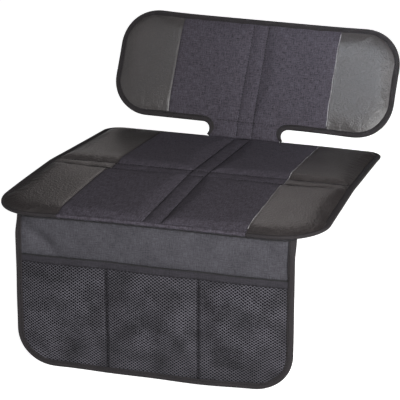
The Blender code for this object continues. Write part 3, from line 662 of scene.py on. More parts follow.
def quilting(u, v, edge, rows):
    """Long swells are products of sines. Puckers are waves along each row of stitching, times e to
    the minus distance from it over their reach."""
    swell = np.sin(u * 52 + v * 17) * np.sin(v * 43 - u * 11 + 1.3)
    swell = swell + 0.6 * np.sin(u * 95 - v * 71 + 0.4)
    uneven = 0.6 + 0.4 * np.sin(u * 83 + v * 67)
    lengthways = np.exp(-rows[0] / PUCKER_REACH) * np.sin(v * 330 + 2.0 * np.sin(v * 70))
    across = np.exp(-rows[1] / PUCKER_REACH) * np.sin(u * 370 + 2.2 * np.sin(u * 60))
    fade = np.exp(-np.maximum(edge, 0) / EDGE_PUCKER_REACH)
    edging = 0.8 * fade * np.sin(v * 310 + u * 290 + 1.8 * np.sin(v * 52))
    pucker = lengthways + across + edging
    return (SWELL_HEIGHT * swell + PUCKER_HEIGHT * uneven * pucker) * smooth(edge / 0.004)


print(f"swells of {SWELL_HEIGHT * 1000} mm and puckers of {PUCKER_HEIGHT * 1000} mm")

# %% [markdown]
# Stitched cloth over foam doesn't keep a formula's shape: it bellies out where it is free and
# wrinkles where it is held. Blender's Cloth is made for that. The sheet is held along its stitching
# and under its edging, a little extra cloth is let in, gravity is off, and a gentle pressure pushes
# it out for 20 frames. The result is read back as plain points, so that no simulation is left on
# the piece, and a cap keeps it from rising off the foam.

# %% Letting the covers belly out
FRAMES = 20
CAP = 0.0022  # no point ends further than this from its start
PRESSURE = 4.0
EXTRA_CLOTH = 0.004  # share of its size that is let in


def bellied(name, points, quads, tris, held):
    """Simulates a sheet held at some of its points. A point that moved by m is moved by the cap
    times the hyperbolic tangent of m over the cap."""
    mesh = bpy.data.meshes.new(name)
    mesh.from_pydata(points.tolist(), [], quads.tolist() + tris.tolist())
    trial = bpy.data.objects.new(name, mesh)
    scene = bpy.context.scene
    scene.collection.objects.link(trial)
    trial.vertex_groups.new(name="held").add(np.flatnonzero(held).tolist(), 1.0, "REPLACE")
    cloth = trial.modifiers.new("cloth", "CLOTH")
    settings = cloth.settings
    settings.quality = 5
    settings.mass = 0.05
    settings.tension_stiffness = settings.compression_stiffness = 12
    settings.shear_stiffness = 4
    settings.bending_stiffness = 1.0
    settings.shrink_min = settings.shrink_max = -EXTRA_CLOTH
    settings.use_pressure = True
    settings.uniform_pressure_force = PRESSURE
    settings.vertex_group_mass = "held"
    settings.effector_weights.gravity = 0
    cloth.collision_settings.use_collision = False
    cloth.point_cache.frame_start, cloth.point_cache.frame_end = 1, FRAMES
    for number in range(1, FRAMES + 1):
        scene.frame_set(number)
    shaped = trial.evaluated_get(bpy.context.evaluated_depsgraph_get()).to_mesh()
    after = np.zeros(len(shaped.vertices) * 3)
    shaped.vertices.foreach_get("co", after)
    move = after.reshape(-1, 3) - points
    bpy.data.objects.remove(trial, do_unlink=True)
    scene.frame_set(1)
    far = np.linalg.norm(move, axis=1, keepdims=True)
    most, mean = far.max() * 1000, far.mean() * 1000
    print(f"{name}: free cloth moved up to {most:.2f} mm, {mean:.2f} mm on average")
    return points + move * np.tanh(far / CAP) * CAP / np.maximum(far, 1e-9)


print(f"cap on the cloth: {CAP * 1000} mm")

# %% [markdown]
# The leather panels are sewn on along two seams. The right panels' folded edge stands proud as a
# cord whose pale colour is a painted highlight, and the left panels' seam is sunk, as the
# photograph shows. Each panel could be shaped alone, but then its edge wouldn't meet its
# neighbour's, so one sheet is cut.

# %% Cutting a cover at its seams
COVER_SHEET = 0.0008
SPANS = {"left": (-1, -SEAM_U), "centre": (-SEAM_U, SEAM_U), "right": (SEAM_U, 1)}
COVER_MATERIALS = {"left": LEATHER, "centre": FABRIC, "right": LEATHER}
COVER_SLOTS = {"left": "imitation_leather", "centre": "woven_fabric", "right": "imitation_leather"}
SEAM_LINES = {}


def seam_height(u):
    """Sunk by a narrow round hill at each seam, and raised just outside the right one."""
    sunk = 0.0011 * hill((u + SEAM_U) / 0.0016) + 0.0006 * hill((u - SEAM_U + 0.0012) / 0.0014)
    return 0.0007 * hill((u - SEAM_U - 0.0012) / 0.0012) - sunk


def part_sheet(section, u, v, points, quads, tris):
    """Faces whose middle lies within a span of u make one panel. The points on the right seam are
    kept for its raised edge."""
    on_seam = np.flatnonzero(np.abs(u - SEAM_U) < 1e-6)
    SEAM_LINES[section] = points[on_seam[np.argsort(v[on_seam])]]
    made = []
    for side, (low, high) in SPANS.items():
        parts = []
        for faces in (quads, tris):
            middle = u[faces].mean(axis=1)
            parts.append(faces[(middle > low) & (middle < high)])
        used = np.unique(np.concatenate([p.ravel() for p in parts]))
        number = np.full(len(u), -1)
        number[used] = np.arange(len(used))
        squares, threes = (number[p] for p in parts)
        uv = np.stack([u[used], v[used]], axis=-1)
        name, material, slot = f"{section}_panel_{side}", COVER_MATERIALS[side], COVER_SLOTS[side]
        piece = new_piece(name, points[used], squares, material, threes, uv)
        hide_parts(f"{section}_cover_{side}")
        made.append(thicken(subdivided(piece), COVER_SHEET))
    return made


print("seams at", -SEAM_U, "and", SEAM_U)

# %% [markdown]
# The seat has two rows of stitching along its middle and two across it, and the back section has
# two up its middle and one across the neck's top. Both covers are made alike: padded by formula,
# bellied out, made uneven and cut.

# %% Covers
HELD_WITHIN = 0.0005
SEAT_PAD_REACH, BACK_PAD_REACH = 0.012, 0.018
NECK_STITCH = SLOT_GAP + EDGE_INSET + 0.0035  # stitch row across the top of the neck


def quilted(section, place, u, v, quads, tris, edge, rows, in_strip, reach):
    """One section's cover, from the distances to its edging and to its rows of stitching."""
    points = place(u, v, padding(edge, rows, in_strip, reach))
    held = np.minimum.reduce([edge, *rows]) < HELD_WITHIN
    points = bellied(f"{section}_trial", points, quads, tris, held)
    lift = quilting(u, v, edge, rows) + seam_height(u)
    points = points + place(0 * u, v, lift) - place(0 * u, v, 0.0)
    return part_sheet(section, u, v, points, quads, tris)


def make_seat_covers():
    """Seat: in front, the padding starts at the narrow lip and not at the tape's inner edge."""
    rows = [EDGE_INSET, LIP_WIDTH, *beside(CHANNEL_START), *beside(CHANNEL_END)]
    rows = filled(rows + [SEAT_DEPTH - PAD_START, SEAT_DEPTH - EDGE_INSET], GRID)
    u, v, quads, tris, _ = cut_sheet(cover_columns(), rows, SEAT_OUTLINE, EDGE_INSET, GRID)
    at_lip = smooth((SEAT_FRONT_RADIUS + 0.01 - v) / 0.03)
    edge = inside_distance(u, v, *SEAT_OUTLINE)[0] - PAD_START + at_lip * (PAD_START - LIP_WIDTH)
    lengthways = np.where(np.abs(u) < SEAM_U, np.abs(np.abs(u) - CHANNEL_HALF), 1.0)
    across = np.minimum(np.abs(v - CHANNEL_START), np.abs(v - CHANNEL_END))
    in_strip = (np.abs(u) < CHANNEL_HALF) | ((v > CHANNEL_START) & (v < CHANNEL_END))
    by = (lengthways, across)
    return quilted("seat", seat_xyz, u, v, quads, tris, edge, by, in_strip, SEAT_PAD_REACH)


def make_back_covers():
    """Back: over the neck, the padding starts at the neck's own two edges."""
    rows = [EDGE_INSET + SLOT_GAP, NECK_STITCH, BACK_TOP - PAD_START, BACK_TOP - EDGE_INSET]
    in_neck = filled([0.0, SLOT_GAP + EDGE_INSET], GRID)[:-1]
    rows, neck = np.concatenate([in_neck, filled(rows, GRID)]), NECK_HALF - EDGE_INSET
    u, h, quads, tris, _ = cut_sheet(cover_columns(), rows, BACK_OUTLINE, EDGE_INSET, GRID, neck)
    edge = inside_distance(u, h, *BACK_OUTLINE)[0] - PAD_START
    over_neck = np.abs(u) < NECK_HALF - PAD_START
    edge = np.where(over_neck & (h < SLOT_GAP + 0.02), NECK_HALF - PAD_START - np.abs(u), edge)
    lengthways = np.where(np.abs(u) < SEAM_U, np.abs(np.abs(u) - CHANNEL_HALF), 1.0)
    across = np.where(np.abs(u) < NECK_HALF, np.abs(h - NECK_STITCH), 1.0)
    in_strip = (np.abs(u) < CHANNEL_HALF) | (h < NECK_STITCH)
    by = (lengthways, across)
    return quilted("back", back_xyz, u, h, quads, tris, edge, by, in_strip, BACK_PAD_REACH)


seat_covers = make_seat_covers()
back_covers = make_back_covers()

# %% [markdown]
# The edging follows each section's outline. A curve object could carry it, but here an outline is
# a list of points, each with its way out, because stitches and tape need that way too. It is drawn
# from straight lines and arcs.

# %% Drawing an outline
def arc(centre, radius, start, end, step=0.004):
    """Points on an arc and the way out at each, with start and end in degrees."""
    count = max(4, round(abs(math.radians(end - start)) * radius / step))
    a = np.radians(np.linspace(start, end, count + 1))
    out = np.stack([np.cos(a), np.sin(a)], axis=-1)
    return np.array(centre) + radius * out, out


def straight(a, b, out, step=0.004):
    """Points on a straight line, without its ends, and the way out."""
    count = max(2, round(math.dist(a, b) / step))
    share = np.linspace(0, 1, count + 1)[1:-1, None]
    points = np.array(a) + share * (np.array(b) - np.array(a))
    return points, np.tile(np.array(out, float), (len(points), 1))


def one_point(place, out):
    """A stretch of a single point."""
    return np.array([place], float), np.array([out], float)


def length_along(points):
    """Length along a line of points: the running sum of its steps."""
    return np.concatenate([[0], np.cumsum(np.linalg.norm(np.diff(points, axis=0), axis=1))])


def joined(*stretches):
    """One path from several stretches of points and ways out, and the length along it."""
    points = np.concatenate([s[0] for s in stretches])
    out = np.concatenate([s[1] for s in stretches])
    return points, out, length_along(points)


def both_sides(right):
    """A path over the middle from its right half, whose last stretch is the middle point."""
    mirror = [(p[::-1] * (-1, 1), o[::-1] * (-1, 1)) for p, o in reversed(right[:-1])]
    return joined(*right, *mirror)


print("a quarter circle of 40 mm has", len(arc((0, 0), 0.040, 0, 90)[0]), "points")

# %% [markdown]
# Four outlines are needed: one for each side of the seat, one for its front edge between the
# seams, which has cloth in place of tape, one for the back section and one for the flap.

# %% The sections' outlines
FLAP_WIDTH = 0.390
FLAP_BOTTOM = -0.221
FLAP_RADIUS = 0.055
FLAP_TOP = -0.0013


def seat_side_path(side):
    """Seat's outline on one side, from the neck round the rear, the side and the front corner to
    the leather seam."""
    half, rear, front = SEAT_WIDTH / 2, SEAT_REAR_RADIUS, SEAT_FRONT_RADIUS
    points, out, length = joined(
        one_point((NECK_HALF + 0.0003, SEAT_DEPTH), (0, 1)),
        straight((NECK_HALF, SEAT_DEPTH), (half - rear, SEAT_DEPTH), (0, 1)),
        arc((half - rear, SEAT_DEPTH - rear), rear, 90, 0),
        straight((half, SEAT_DEPTH - rear), (half, front), (1, 0)),
        arc((half - front, front), front, 0, -90),
        straight((half - front, 0), (SEAM_U, 0), (0, -1)),
        one_point((SEAM_U, 0), (0, -1)),
    )
    return points * (side, 1), out * (side, 1), length


def seat_front_path():
    """Seat's front edge between the two leather seams."""
    return joined(
        one_point((SEAM_U, 0), (0, -1)),
        straight((SEAM_U, 0), (-SEAM_U, 0), (0, -1)),
        one_point((-SEAM_U, 0), (0, -1)),
    )


def back_path():
    """Back section's outline from the right of the neck over the top to its left."""
    half, radius, slot = SEAT_WIDTH / 2, BACK_RADIUS, SLOT_GAP / 2
    slot_points, slot_out = arc((NECK_HALF + slot, slot), slot, 222, 90, 0.0025)
    return both_sides(
        [
            (slot_points, -slot_out),
            straight((NECK_HALF + slot, SLOT_GAP), (half - radius, SLOT_GAP), (0, -1)),
            arc((half - radius, SLOT_GAP + radius), radius, -90, 0),
            straight((half, SLOT_GAP + radius), (half, BACK_TOP - radius), (1, 0)),
            arc((half - radius, BACK_TOP - radius), radius, 0, 90),
            straight((half - radius, BACK_TOP), (0, BACK_TOP), (0, 1)),
            one_point((0, BACK_TOP), (0, 1)),
        ]
    )


def flap_path():
    """Flap's outline from its top right round the bottom to its top left."""
    half, radius, top = FLAP_WIDTH / 2, FLAP_RADIUS, FLAP_TOP
    return both_sides(
        [
            one_point((half, top), (1, 0)),
            straight((half, top), (half, FLAP_BOTTOM + radius), (1, 0)),
            arc((half - radius, FLAP_BOTTOM + radius), radius, 0, -90),
            straight((half - radius, FLAP_BOTTOM), (0, FLAP_BOTTOM), (0, -1)),
            one_point((0, FLAP_BOTTOM), (0, -1)),
        ]
    )


for path in (seat_side_path(1), seat_front_path(), back_path(), flap_path()):
    print(f"outline of {path[2][-1]:.3f} m with {len(path[0])} points")

# %% [markdown]
# Edging tape is folded over the edge like a U and stitched through. A flat section swept along the
# outline gives it, and a slow waver of its inner edge keeps it from looking machined.

# %% Sweeping the tape
TAPE_WIDTH = 0.009
TAPE_UPPER = 0.00355
TAPE_LOWER = -0.00075
TAPE_WAVER = 0.0003
TAPE_LIFT = 0.00015


def fold_section(width, upper, lower, roll=0.0012):
    """Insets and heights of a folded tape's middle line: inwards edge, over the fold, and back.
    The fold is half a circle, squeezed to the tape's own depth."""
    middle, reach = (upper + lower) / 2, (upper - lower) / 2
    turn = np.radians(np.linspace(90, -90, 7))
    fold_inset = 0.00045 + roll * (1 - np.cos(turn))
    fold_height = middle + reach * np.sin(turn)
    flat = np.array([width, width * 0.85, width * 0.5])
    insets = np.concatenate([flat, fold_inset, flat[::-1]])
    drop = np.sign(upper - lower) * np.array([0.0007, 0.0002, 0.0])
    heights = np.concatenate([upper - drop, fold_height, lower + 0 * drop])
    return insets, heights


def sweep_tape(name, path, section, place, material, phase=0.0, narrow=None):
    """Tape along a path. Each row is the section laid inwards from one point of the outline, and
    narrow scales its width along the way."""
    points, out, length = path
    insets, heights = section
    wave = np.sin(length * 140 + phase) + 0.7 * np.sin(length * 61 + 2 * phase + 1.0)
    depth = (insets / insets.max())[None, :]
    scale = (np.ones(len(length)) if narrow is None else narrow)[:, None]
    inset = insets[None, :] * (1 - depth * (1 - scale)) + TAPE_WAVER * wave[:, None] * depth**2
    u = points[:, :1] - out[:, :1] * inset
    v = points[:, 1:] - out[:, 1:] * inset
    upper = (heights > heights.mean())[None, :]
    lift = TAPE_LIFT * np.sin(length * 97 + phase)[:, None] * depth * upper
    across = np.concatenate([[0], np.cumsum(np.hypot(np.diff(insets), np.diff(heights)))])
    uv = np.stack(np.broadcast_arrays(length[:, None], across[None, :]), axis=-1)
    points = place(u, v, heights[None, :] + lift)
    piece = new_piece(name, points, strip_faces(*u.shape), material, uv=uv)
    return thicken(subdivided(piece), COVER_SHEET)


# %% [markdown]
# The seat's two side tapes narrow into the front lip, and the back tape narrows where it dives
# under the seat's cover. They ride on top of the pads' edges, and the flap's tape folds round its
# cloth and its nets.

# %% Tapes
FLAP_TAPE_FRONT, FLAP_TAPE_REAR = -0.1076, -0.1029
NARROW_START, NARROW_OVER = 0.155, 0.05  # before a side tape's end, where it turns to the lip
BACK_END_WIDTH, BACK_END_OVER = 0.4, 0.014  # share of its width at the back tape's ends
SIDES = ((-1, "left"), (1, "right"))


def make_tapes():
    """Seat's two side tapes, its front lip, the back section's tape and the flap's, which is
    handed back."""
    section = fold_section(TAPE_WIDTH, TAPE_UPPER, TAPE_LOWER)
    for side, word in SIDES:
        path = seat_side_path(side)
        to_end = path[2][-1] - path[2]
        loss = 1 - 0.8 * LIP_WIDTH / TAPE_WIDTH
        narrow = 1 - loss * smooth((NARROW_START - to_end) / NARROW_OVER)
        name = f"seat_tape_{word}"
        tape = sweep_tape(name, path, section, seat_xyz, TAPE, side, narrow)
        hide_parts("seat_binding")
    lip, path = fold_section(LIP_WIDTH, TAPE_UPPER + 0.0003, TAPE_LOWER, 0.0018), seat_front_path()
    front = sweep_tape("seat_front_lip", path, lip, seat_xyz, FABRIC, 0.4)
    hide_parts("seat_binding")
    path = back_path()
    to_end = np.minimum(path[2], path[2][-1] - path[2])
    narrow = BACK_END_WIDTH + (1 - BACK_END_WIDTH) * smooth(to_end / BACK_END_OVER)
    back = sweep_tape("back_tape", path, section, back_xyz, TAPE, 2.0, narrow)
    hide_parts("back_binding")
    layers = fold_section(TAPE_WIDTH, FLAP_TAPE_FRONT, FLAP_TAPE_REAR)
    flap = sweep_tape("flap_tape", flap_path(), layers, flap_xyz, TAPE, 3.0)
    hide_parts("flap_binding")
    return flap


flap_tape = make_tapes()

# %% [markdown]
# The flap is a single cloth that hangs from the front edge. It could be a plane that Cloth lets
# hang, but its waves have to carry the nets and the tape too, so the flap's own formula hangs it.

# %% Flap cloth
FLAP_OUTLINE = (FLAP_WIDTH / 2, FLAP_BOTTOM, 0.2, FLAP_RADIUS, FLAP_RADIUS)
POCKET_WIDTH = FLAP_WIDTH / 3
DIVIDERS = (-POCKET_WIDTH / 2, POCKET_WIDTH / 2)
FLAP_STEP = 0.004
FLAP_SHEET = 0.0009
PANEL_Y = -0.1042  # middle of the flap's cloth


def make_flap_panel():
    """Flat sheet cut to the flap's outline and hung."""
    us = filled(mirrored([0.0, DIVIDERS[1], FLAP_WIDTH / 2 - EDGE_INSET]), FLAP_STEP)
    zs = filled([FLAP_BOTTOM + EDGE_INSET, HEM_TOP, -0.0012], FLAP_STEP)
    u, z, quads, tris, _ = cut_sheet(us, zs, FLAP_OUTLINE, EDGE_INSET, FLAP_STEP)
    uv, points = np.stack([u, z], -1), flap_xyz(u, z, PANEL_Y)
    piece = new_piece("flap_cloth", points, quads, FLAP_CLOTH, tris, uv)
    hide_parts("flap_panel")
    return thicken(subdivided(piece), FLAP_SHEET)


panel = make_flap_panel()

# %% [markdown]
# The flap is sewn on below the lip with a gathered seam, drawn as a nearly black uneven cord:
# painted shade for the shadow line under the lip. It is a round tube. A bevelled curve could be one
# too, but a mesh can be exported as it is.

# %% Flap seam
FLAP_SEAM_RADIUS = 0.0008
FLAP_SEAM_Z = -0.0022


def forward(count):
    """The way that the flap faces, once for each point of a line."""
    return np.tile([0.0, -1.0, 0.0], (count, 1))


def unit(ways):
    """Directions divided by their length."""
    return ways / np.linalg.norm(ways, axis=-1, keepdims=True)


def square_to(normals, way):
    """Normals less their share along a direction, made unit length again."""
    return unit(normals - (normals * way).sum(1, keepdims=True) * way)


def tube(name, centres, normals, radius, material, sides=8):
    """Round cord along a line of points: each ring turns from the normal to its cross direction."""
    way = unit(np.gradient(centres, axis=0))
    normals = square_to(normals, way)
    cross = np.cross(way, normals)
    turn = np.linspace(0, 2 * np.pi, sides, endpoint=False)
    ring = np.cos(turn)[None, :, None] * normals[:, None, :]
    ring = ring + np.sin(turn)[None, :, None] * cross[:, None, :]
    swell = radius * (1 + 0.12 * np.sin(np.arange(len(centres)) * 1.7))
    points = centres[:, None, :] + ring * swell[:, None, None]
    faces = closed_tube(len(centres), sides)
    return new_piece(name, points, faces, material)


def make_flap_seam():
    """Nearly black gathered seam below the lip, where the flap is sewn on, painted shade for the
    shadow line there: a cord that wavers.
    """
    u = filled([-FLAP_WIDTH / 2 + 0.002, FLAP_WIDTH / 2 - 0.002], 0.003)
    waver = 0.0003 * np.sin(u * 610 + 2 * np.sin(u * 83)) + 0.0002 * np.sin(u * 1310)
    centres = flap_xyz(u, FLAP_SEAM_Z + waver, Y_FRONT + 0.0009)
    return tube("flap_seam", centres, forward(len(u)), FLAP_SEAM_RADIUS, SHADE_CORD)


flap_seam = make_flap_seam()

# %% [markdown]
# Three nets are sewn over the flap, each standing off a little in its middle, under one folded hem.
# How far they stand off is one function, which the nets, the hem and the elastic share.

# %% Hem of the pockets
NET_Y = -0.1057  # middle of the net where it is sewn
NET_FOOT = -0.205
HEM_FOOT = -0.069
POCKET_BULGE = 0.0062
LEFT_BULGE = 0.0030
POCKET_FOLDS = 0.0011
HEM_FLATNESS = 0.72  # share of the bulge that the hem holds back
# The hem's corners, going round: how far behind the sewn net and how far above the hem's top.
HEM_SECTION = [
    [-0.0004, -0.0004],
    [-0.0009, -0.0016],
    [-0.0009, -0.0055],
    [-0.0008, -0.0105],
    [0.0, -0.0110],
    [0.0005, -0.0105],
    [0.0005, -0.0016],
    [0.0002, -0.0003],
]


def pocket_stand(u, z):
    """How far the net stands off: nothing at its sewn edges, most in each pocket's middle, with a
    bulge in the left pocket's lower half and slanting folds."""
    inner = FLAP_WIDTH / 2 - TAPE_WIDTH - 0.0003
    index = np.clip(np.floor((u + FLAP_WIDTH / 2) / POCKET_WIDTH), 0, 2)
    left = np.maximum(-FLAP_WIDTH / 2 + index * POCKET_WIDTH, -inner)
    right = np.minimum(-FLAP_WIDTH / 2 + (index + 1) * POCKET_WIDTH, inner)
    across = np.sin(np.pi * np.clip((u - left) / (right - left), 0, 1))
    up = smooth((z - NET_FOOT) / ((HEM_TOP - NET_FOOT) / 2))
    up = up * (1 - HEM_FLATNESS * smooth((z + 0.11) / 0.05))
    bulge = LEFT_BULGE * hill((u + 0.145) / 0.040, (z + 0.170) / 0.030)
    folds = POCKET_FOLDS * np.sin((u * 0.75 + z * 0.66) * 100 + index * 2.0) * across
    uneven = bulge + folds * smooth((HEM_FOOT - z) / 0.03)
    sewn = smooth((z - FLAP_BOTTOM - 0.006) / 0.03) * smooth(across * 2)
    return POCKET_BULGE * across * up + uneven * sewn


def make_hem():
    """A closed section, like a flattened loop, carried along the net's top."""
    us = filled(mirrored([0.0, DIVIDERS[1], FLAP_WIDTH / 2 - 0.002]), 0.004)
    section = np.array(HEM_SECTION)
    u = np.repeat(us[:, None], len(section), axis=1)
    z = HEM_TOP + np.repeat(section[None, :, 1], len(us), axis=0)
    y = NET_Y - 0.0003 + section[None, :, 0] - pocket_stand(u, z)
    faces = closed_tube(len(us), len(section))
    uv, points = np.stack([u, z], axis=-1), flap_xyz(u, z, y)
    piece = new_piece("pocket_hem_band", points, faces, HEM_CLOTH, uv=uv)
    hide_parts("pocket_hem")
    return subdivided(piece)


hem = make_hem()

# %% [markdown]
# The pockets' mouth has a thin nearly black cord, painted shade for the dark gap into the pockets.
# It is a tube along the hem's top, so that it catches a thin line of light and shades the hem below
# it.

# %% Dark cord at the pockets' mouth, painted shade
MOUTH_RADIUS = 0.0010


def make_mouth():
    """Nearly black cord along the hem's top edge, painted shade for the pockets' mouth, standing
    off as the net does.
    """
    u = filled([-FLAP_WIDTH / 2 + TAPE_WIDTH * 0.6, FLAP_WIDTH / 2 - TAPE_WIDTH * 0.6], 0.004)
    z = np.full_like(u, HEM_TOP + 0.0002)
    centres = flap_xyz(u, z, NET_Y - 0.0005 - pocket_stand(u, z))
    facing = forward(len(u))
    return tube("pocket_mouth_shade_cord", centres, facing, MOUTH_RADIUS, SHADE_CORD)


mouth = make_mouth()

# %% [markdown]
# A knitted net could be a picture with holes, but then it would be flat and its shadow solid. Here
# each diamond cell is a ring of four flat strands, and neighbouring rings meet at the knots. The
# cells are 5.6 mm wide and 4.2 mm high, close to those in the photograph.

# %% Net pockets
NET_CELL = (0.0056, 0.0042)
NET_OPENING = 0.75  # size of a cell's hole, as a share of the cell
NET_STRAND = 0.0004
NET_BORDER = 0.004  # how far the net is sewn in under the tape


def make_nets():
    """Cells sit where the sum of a column and a row number is odd. A cell's outer corners are its
    four neighbours on that lattice, and its inner corners are the same, scaled by the opening."""
    foot, top = FLAP_BOTTOM + NET_BORDER, HEM_FOOT + 0.002
    edges = [-FLAP_WIDTH / 2 + NET_BORDER, *DIVIDERS, FLAP_WIDTH / 2 - NET_BORDER]
    around = np.array([[1, 0], [0, 1], [-1, 0], [0, -1]])
    made = []
    for word, low, high in zip(("left", "middle", "right"), edges[:-1], edges[1:]):
        columns = round((high - low) / NET_CELL[0])
        rows = round((top - foot) / NET_CELL[1])
        i, j = np.meshgrid(np.arange(1, 2 * columns), np.arange(1, 2 * rows))
        cells = np.stack([i[(i + j) % 2 == 1], j[(i + j) % 2 == 1]], -1)
        size = np.array([(high - low) / (2 * columns), (top - foot) / (2 * rows)])
        middles = cells * size + (low, foot)
        cells = cells[inside_distance(middles[:, 0], middles[:, 1], *FLAP_OUTLINE)[0] > 0.006]
        outer = cells[:, None, :] + around
        inner = cells[:, None, :] + around * NET_OPENING
        knots, where = np.unique(outer.reshape(-1, 2), axis=0, return_inverse=True)
        where = where.reshape(-1, 4)
        u, z = (np.concatenate([knots, inner.reshape(-1, 2)]) * size + (low, foot)).T
        own = len(knots) + np.arange(len(cells) * 4).reshape(-1, 4)
        faces = np.stack([where, np.roll(where, -1, 1), np.roll(own, -1, 1), own], axis=-1)
        faces = faces.reshape(-1, 4)
        points = flap_xyz(u, z, NET_Y - 0.0004 - pocket_stand(u, z))
        piece = new_piece(f"net_{word}", points, faces, NET)
        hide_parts("pocket_net")
        made.append(thicken(piece, NET_STRAND))
    return made


nets = make_nets()

# %% [markdown]
# Layers that the photograph doesn't show: the non-slip cloth under the seat and behind the back
# section, and the foam boards. They could be left out, but the mat would be hollow where it is
# cut open or seen from below, so they are made as the covers are, only plainly.

# %% Hidden layers
HIDDEN_STEP = 0.008
UNDERLAY_MIDDLE = 0.0006
UNDERLAY_THICKNESS = 0.0010
TURNED_IN = 0.012  # the rear cloth's foot goes this far under the seat


def make_underlay():
    """Seat's outline at the underside."""
    edge = EDGE_INSET
    us = filled(mirrored([0.0, SEAT_WIDTH / 2 - edge]), HIDDEN_STEP)
    vs = filled([edge, CHANNEL_START, CHANNEL_END, SEAT_DEPTH - edge], HIDDEN_STEP)
    u, v, quads, tris, _ = cut_sheet(us, vs, SEAT_OUTLINE, edge, HIDDEN_STEP)
    uv, points = np.stack([u, v], -1), seat_xyz(u, v, UNDERLAY_MIDDLE)
    piece = new_piece("underlay_cloth", points, quads, NON_SLIP, tris, uv)
    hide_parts("seat_underlay")
    return thicken(piece, UNDERLAY_THICKNESS)


def make_back_rear():
    """Back section's outline and neck at its rear face, with its foot turned in under the seat."""
    edge, neck = EDGE_INSET, NECK_HALF - EDGE_INSET
    us = filled(mirrored([0.0, neck, SEAT_WIDTH / 2 - edge]), HIDDEN_STEP)
    rows = filled([SLOT_GAP + edge, BACK_TOP - edge], HIDDEN_STEP)
    rows = np.concatenate([filled([0.0, SLOT_GAP + edge], 0.006)[:-1], rows])
    u, h, quads, tris, number = cut_sheet(us, rows, BACK_OUTLINE, edge, HIDDEN_STEP, neck)
    first = number[0][number[0] >= 0]
    foot_u = u[first]
    new = len(u) + np.arange(len(first))
    bend = np.stack([new[:-1], new[1:], first[1:], first[:-1]], -1)
    under = seat_xyz(foot_u, SEAT_DEPTH - edge - TURNED_IN, -0.0009)
    points = np.concatenate([back_xyz(u, h, UNDERLAY_MIDDLE), under])
    uv = np.stack([np.append(u, foot_u), np.append(h, np.full(len(first), -0.015))], -1)
    quads = np.concatenate([quads, bend])
    piece = new_piece("back_rear_cloth", points, quads, NON_SLIP, tris, uv)
    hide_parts("back_rear_cover")
    return thicken(piece, UNDERLAY_THICKNESS)


underlay = make_underlay()
back_rear = make_back_rear()

# %% [markdown]
# The padded fields hold boards of thin foam. Each is cut a little smaller than its field, so that
# the stitching beside it goes through cloth alone.

# %% Foam boards
FOAM_STEP = 0.006
FOAM_MIDDLE = 0.0029
FOAM_THICKNESS = 0.0026
FOAM_SETBACK = 0.008


def make_foams():
    """Boards cut to the fields between the channels, set back from the stitching and outline."""
    step, inner = FOAM_STEP, CHANNEL_HALF + FOAM_SETBACK
    fields = {
        "seat_foam_front": (seat_xyz, SEAT_OUTLINE, 0.0, CHANNEL_START - FOAM_SETBACK),
        "seat_foam_rear": (seat_xyz, SEAT_OUTLINE, CHANNEL_END + FOAM_SETBACK, SEAT_DEPTH),
        "back_foam": (back_xyz, BACK_OUTLINE, SLOT_GAP, BACK_TOP),
    }
    made = []
    for name, (place, outline, low, high) in fields.items():
        edge = PAD_START + FOAM_SETBACK
        low, high = max(low, outline[1] + edge), min(high, outline[2] - edge)
        for side, word in SIDES:
            us = filled([inner, SEAT_WIDTH / 2 - edge], step)
            u, v, quads, tris, _ = cut_sheet(us, filled([low, high], step), outline, edge, step)
            if side < 0:
                quads, tris = quads[:, ::-1], tris[:, ::-1]
            points = place(side * u, v, FOAM_MIDDLE)
            piece = new_piece(f"{name}_{word}_board", points, quads, FOAM, tris)
            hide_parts(f"{name}_{word}")
            made.append(thicken(piece, FOAM_THICKNESS))
    return made


foams = make_foams()

# %% [markdown]
# Stitching is thread on the surface. A dashed line in a material would lie flat, so each stitch is
# a short arc of thread whose ends dive into the cloth. The real stitches are about 3 mm long, and
# here they are 4.5 mm apart and of thicker thread, so that they are few and still show.

# %% Rows of stitches
STITCH_PITCH = 0.0045


def stitch_run(points, normals):
    """Middles, directions and normals of stitches spaced evenly along a line of points."""
    lengths = length_along(points)
    count = int(lengths[-1] / STITCH_PITCH)
    at = (np.arange(count) + 0.5) * lengths[-1] / count

    def along(values, shift=0.0):
        return np.stack([np.interp(at + shift, lengths, values[:, k]) for k in range(3)], -1)

    way = unit(along(points, 0.0008) - along(points, -0.0008))
    return along(points), way, square_to(along(normals), way)


def line_on(place, u, v, height):
    """Stitch run along a line of a stretch's own coordinates, lying at a height."""
    u, v, height = np.broadcast_arrays(np.asarray(u, float), np.asarray(v, float), height)
    points = place(u, v, height)
    return stitch_run(points, unit(place(u, v, height + 0.001) - points))


def on_flap(u, z, y):
    """Stitch run on the hanging flap, facing forward."""
    points = flap_xyz(u, z, y)
    return stitch_run(points, forward(len(points)))


print("stitches on 0.2 m:", len(line_on(seat_xyz, np.linspace(-0.1, 0.1, 9), 0.1, 0.0)[0]))

# %% [markdown]
# All the stitches of a section are one mesh: a template of five square rings is turned and moved
# to each stitch's place in one go, which is far quicker than an object for each stitch.

# %% The stitches' mesh
STITCH_LENGTH = 0.0038
THREAD_RADIUS = 0.00058


